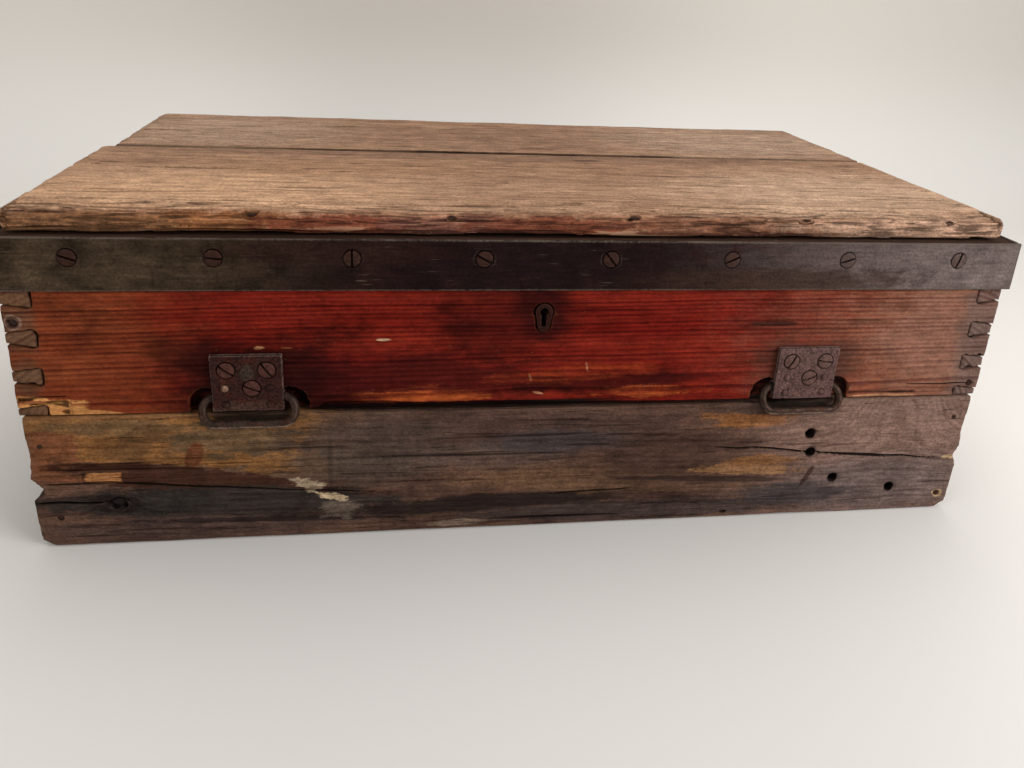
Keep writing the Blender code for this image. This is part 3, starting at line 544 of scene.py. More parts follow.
WEATHERED = WoodFinish(
    early=(0.112, 0.06, 0.04), second=(0.068, 0.036, 0.026), late=(0.58, 0.48, 0.45), grime=(0.024, 0.014, 0.011),
    late_share=0.55, grime_share=0.75, grime_from=0.5, streak=0.26, fibre=0.32, grit=0.42, blotch=0.34,
    check_share=0.6, speck=(0.2, 0.135, 0.085), speck_share=0.2, roughness=0.85, gloss=0.04,
)
LID_TOP = WoodFinish(
    early=(0.41, 0.246, 0.153), second=(0.295, 0.168, 0.105), late=(0.7, 0.62, 0.58), grime=(0.17, 0.092, 0.058),
    late_share=0.5, grime_share=0.4, grime_from=0.52, streak=0.26, fibre=0.3, grit=0.48, blotch=0.32,
    check_share=0.55, speck=(0.6, 0.42, 0.28), speck_share=0.3, roughness=0.85, gloss=0.08,
)
# Near-black pine: painted shade, so that the rail seen in the gap between the lid boards and the band reads as
# shadow. The tongues take it too.
GAP_SHADE_PINE = WoodFinish(
    early=(0.05, 0.026, 0.017), second=(0.032, 0.016, 0.011), late=(0.6, 0.5, 0.48), grime=(0.014, 0.008, 0.006),
    roughness=0.8, gloss=0.06,
)
RAW_WOOD: Colour = (0.46, 0.21, 0.07)
PALE_WOOD: Colour = (0.52, 0.36, 0.22)


@dataclass(frozen=True)
class Stain:
    """A patch of another colour on a piece's outer face, with its middle and half sizes in millimetres."""

    u: float
    v: float
    half_u: float
    half_v: float
    colour: Colour
    strength: float = 0.85
    ragged: float = 0.35
    soft: float = 0.35
    turn: float = 0.0
    boxy: bool = False
    mottle: float = 0.0
    broken: float = 0.0

    FRAY = 4

    def tone(self, graph: Graph, rag: Field) -> object:
        """The stain's colour, made lighter and darker in patches."""
        if not self.mottle:
            return self.colour
        return graph.vary(self.colour, rag, self.mottle, (0.3, 0.7))

    def mask(self, graph: Graph, u: Field, v: Field, rag: Field) -> Field:
        """How much of the stain lies at a place.

        Args:
            graph: The material that carries the stain.
            u: The place along the face's first axis.
            v: The place along the face's second axis.
            rag: Noise from 0 to 1 that frays the edge.

        Returns:
            A value from 0 outside to the stain's strength inside.
        """
        cosine, sine = math.cos(self.turn), math.sin(self.turn)
        du, dv = u - self.u * MM, v - self.v * MM
        wide, tall = self.half_u * MM, self.half_v * MM
        across = du * (cosine / wide) + dv * (sine / wide)
        up = dv * (cosine / tall) + du * (-sine / tall)
        if self.boxy:
            reach = graph.math("MAXIMUM", graph.math("ABSOLUTE", across), graph.math("ABSOLUTE", up))
        else:
            reach = graph.math("SQRT", across * across + up * up)
        frayed = reach + (rag - 0.5) * (self.FRAY * self.ragged)
        return graph.span(frayed, 1 + self.soft / 2, 1 - self.soft / 2, 0.0, self.strength)


@dataclass(frozen=True)
class Iron:
    """A dark iron or steel surface with rust, pits in millimetres, painted shade in its hollows and worn, brighter
    arrises.
    """

    metal: Colour
    rust: Colour
    bright: Colour
    rust_from: float = 0.5
    metallic: float = 0.4
    roughness: float = 0.5
    pits: float = 0.25
    waves: float = 70.0
    brushed: tuple[float, float, float] = (1.0, 1.0, 1.0)
    stains: tuple[Stain, ...] = ()
    scratches: float = 0.0
    fleck: float = 0.45

    GLOSS = 0.035

    def dress(self, name: str) -> bpy.types.Material:
        """Makes the material.

        Args:
            name: The material's name.

        Returns:
            A material that reads the mesh's relief for the shade painted into its hollows and its bright arrises.
        """
        graph = Graph(name)
        place = graph.place()
        x, _, z = graph.split(place)
        cloud = graph.noise(place, (self.waves,) * 3, 6, 0.68)
        fine = graph.noise(place, (max(self.waves * 5, 480),) * 3, 4, 0.72, shift=5)
        streaks = graph.noise(place, [self.waves * 5 * share for share in self.brushed], 4, 0.65, shift=9)
        tone = graph.mix(graph.span(cloud, self.rust_from, self.rust_from + 0.12), self.metal, self.rust)
        rag = graph.noise(place, (self.waves * 1.5,) * 3, 5, 0.65, shift=13)
        for stain in self.stains:
            tone = graph.mix(stain.mask(graph, x, z, rag), tone, stain.tone(graph, rag))
        for value, share in ((streaks, 0.32), (fine, self.fleck), (rag, 0.42)):
            tone = graph.vary(tone, value, share)
        relief = graph.attribute(RELIEF)
        worn = graph.span(relief, 0.15, 0.8) * graph.span(fine + cloud, 0.8, 1.15, 0.15, 1.0)
        tone = graph.mix(worn, tone, self.bright)
        if self.scratches:
            lines = graph.noise(place, (40, 40, 900), 2, 0.5, shift=21)
            lines = graph.span(lines, 0.68, 0.74) * graph.span(cloud, 0.45, 0.6, 0.1, self.scratches)
            tone = graph.mix(lines, tone, self.bright)
        # Painted shade: hollows, pits, screw slots and the rims round fastener heads are darkened where the relief
        # is low.
        tone = graph.shade(tone, graph.span(relief, -0.9, -0.1, 0.18, 1.0))
        graph.put("Base Color", tone)
        graph.put("Metallic", graph.span(cloud, 0.4, 0.65, self.metallic, self.metallic * 0.4, soft=False))
        dull = min(1.0, self.roughness + 0.25)
        graph.put("Roughness", graph.span(cloud, 0.4, 0.65, self.roughness, dull, soft=False))
        graph.put("Specular IOR Level", self.GLOSS)
        graph.bump(fine * 0.7 + cloud * 0.6, self.pits * MM)
        return graph.material


BAND_STEEL = Iron(
    metal=(0.0155, 0.0058, 0.0056), rust=(0.026, 0.0092, 0.007), bright=(0.1, 0.078, 0.062),
    pits=0.15, waves=30.0, brushed=(0.3, 1.0, 2.6), scratches=0.6,
    stains=(
        # Partly painted reflection and light, partly rust: olive sheen at the left, near black in the middle, light
        # grey at the right end.
        Stain(-340, 224, 165, 40, (0.05, 0.034, 0.02), 0.85, 0.4, 1.2, mottle=0.3),
        Stain(0, 222, 170, 40, (0.011, 0.0055, 0.0055), 0.85, 0.3, 1.2),
        Stain(358, 224, 170, 50, (0.122, 0.094, 0.087), 0.92, 0.3, 1.4),
        Stain(180, 213, 100, 10, (0.036, 0.018, 0.012), 0.7, 0.5, 0.8),
        Stain(-150, 234, 70, 8, (0.026, 0.011, 0.008), 0.6, 0.6, 0.8),
    ),
)
PLATE_IRON = Iron(
    metal=(0.031, 0.013, 0.0108), rust=(0.045, 0.0135, 0.0092), bright=(0.16, 0.105, 0.09),
    pits=0.9, waves=110.0, fleck=0.75,
    stains=(
        # Painted light: the right plate is made lighter and greyer.
        Stain(213, 136, 100, 60, (0.11, 0.062, 0.056), 0.85, soft=0.3),
        Stain(-212.5, 144, 3.4, 6, (0.075, 0.058, 0.044), 0.5, 0.9, 1),
        Stain(-213, 116.5, 22, 5, (0.075, 0.045, 0.034), 0.5, 0.9, 0.8),
        Stain(-228.5, 132, 2.7, 2.7, (0.24, 0.14, 0.095), 0.9, 0.1, 0.3),
    ),
)
RING_IRON = Iron(
    metal=(0.042, 0.026, 0.02), rust=(0.05, 0.022, 0.014), bright=(0.22, 0.16, 0.125),
    metallic=0.65, roughness=0.4, pits=0.3, waves=110.0,
)
SCREW_STEEL = Iron(
    metal=(0.034, 0.016, 0.012), rust=(0.04, 0.013, 0.009), bright=(0.065, 0.038, 0.03),
    pits=0.3, waves=220.0,
    # Painted light: screws towards the right end are made lighter, as the band's right end is.
    stains=(Stain(360, 190, 190, 200, (0.095, 0.066, 0.058), 0.85, soft=1.0),),
)
PLATE_SCREW_STEEL = Iron(
    metal=(0.066, 0.026, 0.021), rust=(0.05, 0.016, 0.012), bright=(0.12, 0.062, 0.048),
    pits=0.3, waves=220.0,
    # Painted light: the right plate's screws are made lighter, as the plate is.
    stains=(Stain(213, 136, 100, 60, (0.115, 0.066, 0.056), 0.85, soft=0.3),),
)
ESCUTCHEON_IRON = Iron(
    metal=(0.024, 0.0085, 0.0065), rust=(0.032, 0.009, 0.006), bright=(0.05, 0.022, 0.017), rust_from=0.48,
    metallic=0.3, roughness=0.6, pits=0.2, waves=260.0,
)
NAIL_IRON = Iron(
    metal=(0.026, 0.018, 0.015), rust=(0.042, 0.02, 0.013), bright=(0.12, 0.085, 0.068), rust_from=0.42,
    roughness=0.6, pits=0.2, waves=260.0,
)


class Shape:
    """A fine working copy of one CAD node's solid that can be worn, dented and cracked."""

    MERGE = 1e-6
    QUICK_VOXEL = 1.7
    RELIEF_UNIT = 0.5 * MM
    RELIEF_ROUNDS = 12
    TRIANGLES = 190_000

    def __init__(self, node: str, voxel: float, stretch: Sequence[float] = (1, 1, 1)) -> None:
        """Copies the node with cells of one size.

        Args:
            node: The CAD node.
            voxel: The size of a cell in metres.
            stretch: How many times longer a cell is along X, Y and Z.
        """
        self.node = node
        self.low, self.high = (np.array(corner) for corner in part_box(node))
        self.mesh = self._remeshed(voxel, stretch)
        self.read()

    def _remeshed(self, voxel: float, stretch: Sequence[float]) -> bpy.types.Mesh:
        """The node's merged mesh on an even grid of cells.

        Args:
            voxel: The size of a cell in metres.
            stretch: How many times longer a cell is along X, Y and Z.

        Returns:
            A fine mesh of the node.
        """
        copy = bmesh.new()
        copy.from_mesh(frame["nodes"][self.node].data)
        bmesh.ops.remove_doubles(copy, verts=copy.verts, dist=self.MERGE)
        mesh = bpy.data.meshes.new(f"{self.node}.coarse")
        copy.to_mesh(mesh)
        copy.free()
        mesh.transform(Matrix.Diagonal((*(1 / factor for factor in stretch), 1)))
        holder = add_object(f"{self.node}.holder", mesh)
        step = holder.modifiers.new("cells", "REMESH")
        step.mode = "VOXEL"
        step.voxel_size = voxel
        fine = evaluated(holder)
        bpy.data.objects.remove(holder)
        bpy.data.meshes.remove(mesh)
        fine.transform(Matrix.Diagonal((*stretch, 1)))
        return fine

    def read(self) -> None:
        """Takes the points and normals from the mesh."""
        self.points, self.normals = read_mesh(self.mesh)

    def write(self) -> None:
        """Gives the moved points back to the mesh."""
        write_mesh(self.mesh, self.points)

    def refresh(self) -> None:
        """Writes the points and takes new normals from them."""
        self.write()
        self.read()

    def refine(self, chosen: np.ndarray, cuts: int) -> None:
        """Splits the cells whose corners are all chosen.

        Args:
            chosen: True for each vertex inside the region.
            cuts: How many times each edge is cut.
        """
        if not chosen.any():
            return
        self.write()
        finer = bmesh.new()
        finer.from_mesh(self.mesh)
        finer.verts.ensure_lookup_table()
        edges = [edge for edge in finer.edges if chosen[edge.verts[0].index] and chosen[edge.verts[1].index]]
        bmesh.ops.subdivide_edges(finer, edges=edges, cuts=cuts, use_grid_fill=True)
        finer.to_mesh(self.mesh)
        finer.free()
        self.read()

    def round_edges(self, radius: np.ndarray, only: Iterable[tuple[Face, Face]] | None = None) -> None:
        """Wears the arrises of a box-like board round.

        Args:
            radius: The rounding at each point.
            only: Pairs of faces whose arris is worn, or None for all twelve.
        """
        faces = list(Face)
        pairs = only or [(a, b) for i, a in enumerate(faces) for b in faces[i + 1:] if a.column != b.column]
        for first, second in pairs:
            depth_a = self.depth(first)
            depth_b = self.depth(second)
            u = np.clip(radius - depth_a, 0, None)
            v = np.clip(radius - depth_b, 0, None)
            reach = np.hypot(u, v)
            over = (reach > radius) & (u > 0) & (v > 0)
            shrink = radius[over] / reach[over]
            self._set_depth(first, over, radius[over] - u[over] * shrink)
            self._set_depth(second, over, radius[over] - v[over] * shrink)

    def depth(self, face: Face) -> np.ndarray:
        """How far each point lies inside a face of the node's box."""
        outer = self.high if face.sign > 0 else self.low
        return (outer[face.column] - self.points[:, face.column]) * face.sign

    def _set_depth(self, face: Face, chosen: np.ndarray, depth: np.ndarray) -> None:
        """Moves chosen points to a depth inside a face."""
        outer = self.high if face.sign > 0 else self.low
        self.points[chosen, face.column] = outer[face.column] - face.sign * depth

    def on_face(self, face: Face, reach: float = 3 * MM) -> np.ndarray:
        """1 for points on a face, falling to 0 where the surface lies deeper or turns away."""
        turned = smoothstep(self.normals[:, face.column] * face.sign, 0.3, 0.8)
        return turned * smoothstep(self.depth(face), reach, reach / 2)

    def sink(self, amount: np.ndarray) -> None:
        """Moves the points inwards along their normals."""
        self.points -= self.normals * amount[:, None]

    def push(self, face: Face, amount: np.ndarray) -> None:
        """Moves the points straight in from a face."""
        self.points[:, face.column] -= face.sign * amount

    def relief(self) -> np.ndarray:
        """How far each point stands above the surface around it, from -1 in hollows to 1 on arrises."""
        ends = np.empty(len(self.mesh.edges) * 2, np.int32)
        self.mesh.edges.foreach_get("vertices", ends)
        a, b = ends.reshape(-1, 2).T
        count = len(self.points)
        degree = np.bincount(ends, minlength=count)
        around = self.points.copy()
        for _ in range(self.RELIEF_ROUNDS):
            for column in range(3):
                part = around[:, column]
                around[:, column] = (np.bincount(a, part[b], count) + np.bincount(b, part[a], count)) / degree
        above = ((self.points - around) * self.normals).sum(axis=1)
        return np.clip(above / self.RELIEF_UNIT, -1, 1)

    def thin(self, piece: bpy.types.Object) -> None:
        """Merges the flattest cells of a piece until it is light enough."""
        whole = piece.data
        triangles = len(whole.loops) - 2 * len(whole.polygons)
        if triangles <= self.TRIANGLES:
            return
        step = piece.modifiers.new("thin", "DECIMATE")
        step.ratio = self.TRIANGLES / triangles
        light = evaluated(piece, whole=True)
        piece.modifiers.clear()
        piece.data = light
        bpy.data.meshes.remove(whole)
        light.name = piece.name

    def finish(self, name: str, material: bpy.types.Material, dirt_and_painted_shade: np.ndarray | float = 0.0) -> bpy.types.Object:
        """Turns the shape into an object.

        Args:
            name: The piece's name.
            material: Its finish.
            dirt_and_painted_shade: How much lower each point counts in the relief; round fastener heads this paints
                shade.

        Returns:
            The object at the origin, with the relief on its mesh.
        """
        self.refresh()
        self.mesh.name = name
        # Lowering the relief round fastener heads paints shade there.
        store_relief(self.mesh, self.relief() - dirt_and_painted_shade)
        self.mesh.materials.clear()
        self.mesh.materials.append(material)
        self.mesh.shade_smooth()
        piece = add_object(name, self.mesh)
        self.thin(piece)
        return piece


class Mark:
    """Something that wear, use or tools left on a board, with its places and sizes in millimetres."""

    def region(self, shape: Shape) -> np.ndarray:
        """The points whose cells have to be finer for the mark."""
        return np.zeros(len(shape.points), bool)

    def apply(self, shape: Shape, noise: Noise) -> None:
        """Moves the points of the shape.

        Args:
            shape: The board's shape.
            noise: The noise that makes the mark uneven.
        """
        raise NotImplementedError


@dataclass(frozen=True)
class Crack(Mark):
    """A split along the grain, as a line of places in a face."""

    face: Face
    line: tuple[tuple[float, float], ...]
    width: float = 1.2
    depth: float = 4.0

    WANDER = 0.7 * MM
    STRIP = 3

    def reach(self, shape: Shape, noise: Noise | None) -> np.ndarray:
        """How far each point lies from the line.

        Args:
            shape: The board's shape.
            noise: The noise that makes the line wander, or None for a straight one.

        Returns:
            The distances in widths of the crack, which tapers to its ends.
        """
        flat = shape.points[:, self.face.in_plane].copy()
        if noise is not None:
            flat[:, 1] += self.WANDER * noise(shape.points, (60, 60, 60))
        nearest = np.full(len(flat), np.inf)
        place = np.zeros(len(flat))
        for number, (start, end) in enumerate(zip(self.line, self.line[1:])):
            a, b = np.array(start) * MM, np.array(end) * MM
            along = np.clip((flat - a) @ (b - a) / ((b - a) @ (b - a)), 0, 1)
            far = np.linalg.norm(flat - a - along[:, None] * (b - a), axis=1)
            place = np.where(far < nearest, (number + along) / (len(self.line) - 1), place)
            nearest = np.minimum(nearest, far)
        taper = smoothstep(place, 0, 0.2) * smoothstep(place, 1, 0.8)
        return nearest / (self.width * MM * (0.05 + 0.95 * taper))

    def region(self, shape: Shape) -> np.ndarray:
        """A strip along the line."""
        return (self.reach(shape, None) < self.STRIP) & (shape.on_face(self.face) > 0.1)

    def apply(self, shape: Shape, noise: Noise) -> None:
        """Presses a narrow groove into the face."""
        share = np.clip(1 - self.reach(shape, noise), 0, 1)
        shape.push(self.face, self.depth * MM * share * shape.on_face(self.face))


@dataclass(frozen=True)
class Pit(Mark):
    """A hollow round a nail, a knot or a knock, with its half sizes in the face."""

    face: Face
    middle: tuple[float, float]
    half: tuple[float, float] = (4.0, 2.4)
    depth: float = 2.5

    REACH = 12 * MM

    def share(self, shape: Shape) -> np.ndarray:
        """The distance from the middle in half sizes."""
        flat = shape.points[:, self.face.in_plane]
        return np.hypot(*((flat - np.array(self.middle) * MM) / (np.array(self.half) * MM)).T)

    def region(self, shape: Shape) -> np.ndarray:
        """A little more than the hollow itself."""
        return (self.share(shape) < 2.2) & (shape.on_face(self.face, self.REACH) > 0.1)

    def apply(self, shape: Shape, noise: Noise) -> None:
        """Presses the hollow with a frayed rim."""
        frayed = self.share(shape) + 0.25 * noise(shape.points, (300, 300, 300))
        hollow = self.depth * MM * smoothstep(frayed, 1.1, 0.55)
        shape.push(self.face, hollow * shape.on_face(self.face, self.REACH))


@dataclass(frozen=True)
class Drilled(Mark):
    """A round hole that is already in the node, made true on the finer mesh."""

    face: Face
    middle: tuple[float, float]
    radius: float
    reach: float = 1.8

    RIM = 2.5 * MM
    RIM_DEPTH = 0.8 * MM

    def distance(self, shape: Shape) -> np.ndarray:
        """The distance of each point from the hole's axis."""
        return np.linalg.norm(shape.points[:, self.face.in_plane] - np.array(self.middle) * MM, axis=1)

    def region(self, shape: Shape) -> np.ndarray:
        """The wall of the hole and its rims."""
        return self.distance(shape) < (self.radius + 2 * self.reach) * MM

    def apply(self, shape: Shape, noise: Noise) -> None:
        """Draws the points near the wall onto it, and wears the rim."""
        distance = self.distance(shape)
        middle, radius = np.array(self.middle) * MM, self.radius * MM
        wall = np.abs(shape.normals[:, self.face.column]) < 0.75
        near = (np.abs(distance - radius) < self.reach * MM) & wall
        columns = self.face.in_plane
        offset = shape.points[np.ix_(near, columns)] - middle
        ragged = radius * (1 + 0.08 * noise(shape.points[near], (220, 60, 220)))
        shape.points[np.ix_(near, columns)] = middle + offset * (ragged / distance[near])[:, None]
        rim = smoothstep(distance, radius + self.RIM, radius) * shape.on_face(self.face)
        shape.push(self.face, self.RIM_DEPTH * rim)


@dataclass(frozen=True)
class LostEdge(Mark):
    """A stretch of an arris that is worn away further than the rest."""

    faces: tuple[Face, Face]
    along: Axis
    start: float
    end: float
    radius: float
    fade: float = 30

    def apply(self, shape: Shape, noise: Noise) -> None:
        """Rounds the stretch."""
        place = shape.points[:, self.along.value]
        start, end, fade = self.start * MM, self.end * MM, self.fade * MM
        share = smoothstep(place, start - fade, start) * smoothstep(place, end + fade, end)
        radius = self.radius * MM * share * (1 + 0.35 * noise(shape.points, (28, 28, 28), 2))
        shape.round_edges(np.maximum(radius, 1e-5), [self.faces])


@dataclass(frozen=True)
class Splintered(Mark):
    """A region where the wood has broken off in flakes along the grain, or is evenly worn with no steps."""

    face: Face
    low: tuple[float, float]
    high: tuple[float, float]
    depth: float
    fade: tuple[float, float] = (5, 5)
    waves: tuple[float, float, float] = (26, 160, 160)
    steps: int = 4

    REACH = 14 * MM

    def apply(self, shape: Shape, noise: Noise) -> None:
        """Takes the flakes away, deeper towards the middle of the region."""
        flat = shape.points[:, self.face.in_plane]
        share = np.ones(len(flat))
        for places, *limits in zip(flat.T, self.low, self.high, self.fade):
            low, high, fade = (limit * MM for limit in limits)
            share *= smoothstep(places, low - fade, low) * smoothstep(places, high + fade, high)
        rough = noise(shape.points, self.waves, 2)
        flakes = terraces(0.5 + 0.5 * rough, self.steps) if self.steps else 0.8 + 0.4 * rough
        loss = self.depth * MM * share * np.clip(flakes, 0, 1) * shape.on_face(self.face, self.REACH)
        shape.push(self.face, loss)


@dataclass(frozen=True)
class Flaked(Mark):
    """An arris that has weathered off in long flakes, on both sides of the corner."""

    faces: tuple[Face, Face]
    zone: float
    depth: float
    waves: tuple[float, float, float]
    steps: int = 4

    FINER = (1.6, 3, 3)
    FINER_STEPS = 3

    def weight(self, shape: Shape) -> np.ndarray:
        """1 at the arris, falling to 0 at the end of the zone."""
        zone = self.zone * MM
        return smoothstep(shape.depth(self.faces[0]) + shape.depth(self.faces[1]), zone, 0.35 * zone)

    def region(self, shape: Shape) -> np.ndarray:
        """The whole zone."""
        return self.weight(shape) > 0.05

    def apply(self, shape: Shape, noise: Noise) -> None:
        """Takes the flakes off, with sharp steps between them."""
        shape.refresh()
        finer = np.array(self.waves) * self.FINER
        large, small = (
            terraces(np.clip(0.5 + 0.75 * noise(shape.points, waves, 2), 0, 1), steps)
            for waves, steps in ((self.waves, self.steps), (finer, self.FINER_STEPS))
        )
        ends = 3 - self.faces[0].column - self.faces[1].column
        sides = smoothstep(np.abs(shape.normals[:, ends]), 0.8, 0.3)
        shape.sink(self.depth * MM * self.weight(shape) * sides * (0.5 * large + 0.5 * small))


@dataclass(frozen=True)
class RaggedEnd(Mark):
    """An end of a board whose fibres have worn and split off."""

    face: Face
    depth: float
    splits: int = 0
    split_depth: float = 14
    waves: tuple[float, float, float] = (90, 90, 90)
    zone: float = 26

    SPLIT_HALF = 1.2 * MM

    def apply(self, shape: Shape, noise: Noise) -> None:
        """Shortens the end unevenly and opens a few splits in it."""
        zone = smoothstep(shape.depth(self.face), self.zone * MM, 0)
        across = shape.points.copy()
        across[:, self.face.column] = 0
        flakes = terraces(0.5 + 0.5 * noise(across, self.waves, 3), 5)
        loss = self.depth * MM * np.clip(flakes, 0, 1) * zone
        end = shape.on_face(self.face, self.zone * MM)
        columns = self.face.in_plane
        wide = max(columns, key=lambda column: shape.high[column] - shape.low[column])
        places = np.random.default_rng(int(1e4 * abs(shape.low.sum()))).uniform(0.06, 0.94, self.splits)
        for number, share in enumerate(places):
            middle = shape.low[wide] + share * (shape.high[wide] - shape.low[wide])
            near = np.clip(1 - np.abs(shape.points[:, wide] - middle) / self.SPLIT_HALF, 0, 1)
            loss = np.maximum(loss, self.split_depth * MM * (0.4 + 0.6 * (number % 3) / 2) * near * end)
        shape.push(self.face, loss)


@dataclass
class Board:
    """One board: its place in the log, its wear and the marks on it, with cells and depths in millimetres."""

    node: str
    body: Body
    slot: Slot
    log: PineLog
    outer: WoodFinish
    inner: WoodFinish = BARE_PINE
    skin: Face | None = None
    second_outer: WoodFinish | None = None
    second_span: tuple[float, float] = (0.22, 0.33)
    stains: tuple[Stain, ...] = ()
    bare: bool = True
    unroll: bool = False
    worn: Colour = (0.2, 0.12, 0.075)
    worn_share: float = 0.35
    worn_from: float = 0.2
    shadow: float = 0.2
    fade_span: tuple[float, float] | None = None
    voxel: float = 2.6
    along: float = 1.8
    fine_depth: float = 12
    edge: float = 1.8
    hollow: float = 0.5
    grooves: float = 0.35
    relief: float = 0.45
    marks: tuple[Mark, ...] = ()
    seed: int = 1

    BARE_DEPTH = 4 * MM
    DEEP_GROOVE = 3.5
    INSIDE = {Axis.X: 0.35, Axis.Y: 0.18}

    def build(self) -> bpy.types.Object:
        """Makes the worn board, dresses it and puts it in the place of its node.

        Returns:
            The board as a piece that rides on its body.
        """
        stretch = [1.0, 1.0, 1.0]
        stretch[self.log.grain.value] = self.along
        shape = Shape(self.node, self.voxel * MM, stretch)
        noise = Noise(self.seed)
        if self.skin is not None:
            shape.refine(shape.depth(self.skin) < self.fine_depth * MM, 1)
        region = np.zeros(len(shape.points), bool)
        for mark in self.marks:
            region |= mark.region(shape)
        shape.refine(region, 1)
        self.weather(shape, noise)
        piece = shape.finish(f"worn_{self.node}", self.material())
        keep(piece, self.body, [self.node])
        return piece

    def waves(self, along: float, across: float) -> list[float]:
        """Waves per metre that run with the grain."""
        made = [across] * 3
        made[self.log.grain.value] = along
        return made

    def weather(self, shape: Shape, noise: Noise) -> None:
        """Wears the arrises, adds the marks, hollows the faces and lifts the grain.

        Args:
            shape: The board's shape.
            noise: The noise that makes the wear uneven.
        """
        ragged = 1 + 0.55 * noise(shape.points, self.waves(14, 40), 3)
        shape.round_edges(self.edge * MM * np.clip(ragged, 0.35, 2.2))
        shape.refresh()
        for mark in self.marks:
            mark.apply(shape, noise)
        shape.refresh()
        sag = self.hollow * MM * (0.5 + 0.5 * noise(shape.points, self.waves(5, 16), 2))
        groove = self.grooves * MM
        lines = groove * (0.5 + 0.5 * noise(shape.points, self.waves(12, 230), 3))
        deep = self.DEEP_GROOVE * groove * smoothstep(noise(shape.points, self.waves(6, 120), 2), 0.42, 0.75)
        shape.sink(np.clip(sag, 0, None) + lines + deep)

    def bare_mask(self, graph: Graph) -> Field:
        """1 on the inner face of the board and 0 towards its outer face."""
        low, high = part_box(self.node)
        inner = low[self.skin.column] if self.skin.sign > 0 else high[self.skin.column]
        parts = graph.split(graph.place())
        depth = (parts[self.skin.column] - inner) * self.skin.sign
        along = graph.math("ABSOLUTE", parts[self.log.grain.value])
        inside = graph.span(along, self.INSIDE[self.log.grain] + 2 * MM, self.INSIDE[self.log.grain])
        return inside * graph.span(depth, self.BARE_DEPTH * 1.5, self.BARE_DEPTH * 0.5)

    def material(self) -> bpy.types.Material:
        """The board's own material: its finish outside, bare wood inside, stains, worn arrises and grain."""
        graph = Graph(f"{self.node}_wood")
        grain = Grain.of(graph, self.log)
        tone = self.outer.ground(graph, grain)
        parts = graph.split(graph.place())
        rough = self.outer.roughness
        if self.second_outer is not None:
            far = graph.math("ABSOLUTE", parts[self.log.grain.value]) + (grain.cloud - 0.5) * 0.16
            tone = graph.mix(graph.span(far, *self.second_span), tone, self.second_outer.ground(graph, grain))
        if self.stains:
            u, v = (parts[column] for column in self.skin.in_plane)
            if self.unroll:
                v = v + (parts[2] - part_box(self.node)[1].z)
            rag = graph.noise(grain.vector, (48, 110, 110), 9, 0.76, shift=31)
            hold = graph.span(grain.grit, 0.25, 0.5, 0.6, 1.0)
            for stain in self.stains:
                mask = stain.mask(graph, u, v, rag) * hold
                if stain.broken:
                    mask = mask * graph.span(grain.streak, 0.4, 0.6, 1 - stain.broken, 1.0)
                tone = graph.mix(mask, tone, stain.tone(graph, rag))
        if self.skin is not None and self.bare:
            bare = self.bare_mask(graph)
            tone = graph.mix(bare, tone, self.inner.ground(graph, grain))
            rough = graph.span(bare, 0, 1, rough, self.inner.roughness, soft=False)
        fade = 1.0
        if self.fade_span is not None:
            fade = graph.span(parts[self.log.grain.value], *self.fade_span, 1.0, 0.7)
        tone = self.outer.figure(graph, grain, tone, fade)
        relief = graph.attribute(RELIEF)
        worn = graph.span(relief, self.worn_from, 0.95, 0.0, self.worn_share) * graph.span(grain.streak, 0.35, 0.6)
        tone = graph.mix(worn, tone, self.worn)
        tone = graph.shade(tone, graph.span(relief, -0.9, -0.05, self.shadow, 1.0))
        graph.put("Base Color", tone)
        graph.put("Roughness", rough)
        graph.put("Specular IOR Level", self.outer.gloss)
        graph.bump(grain.fibre * 0.55 + grain.late * 0.35 - grain.checks * 0.5, self.relief * MM)
        return graph.material


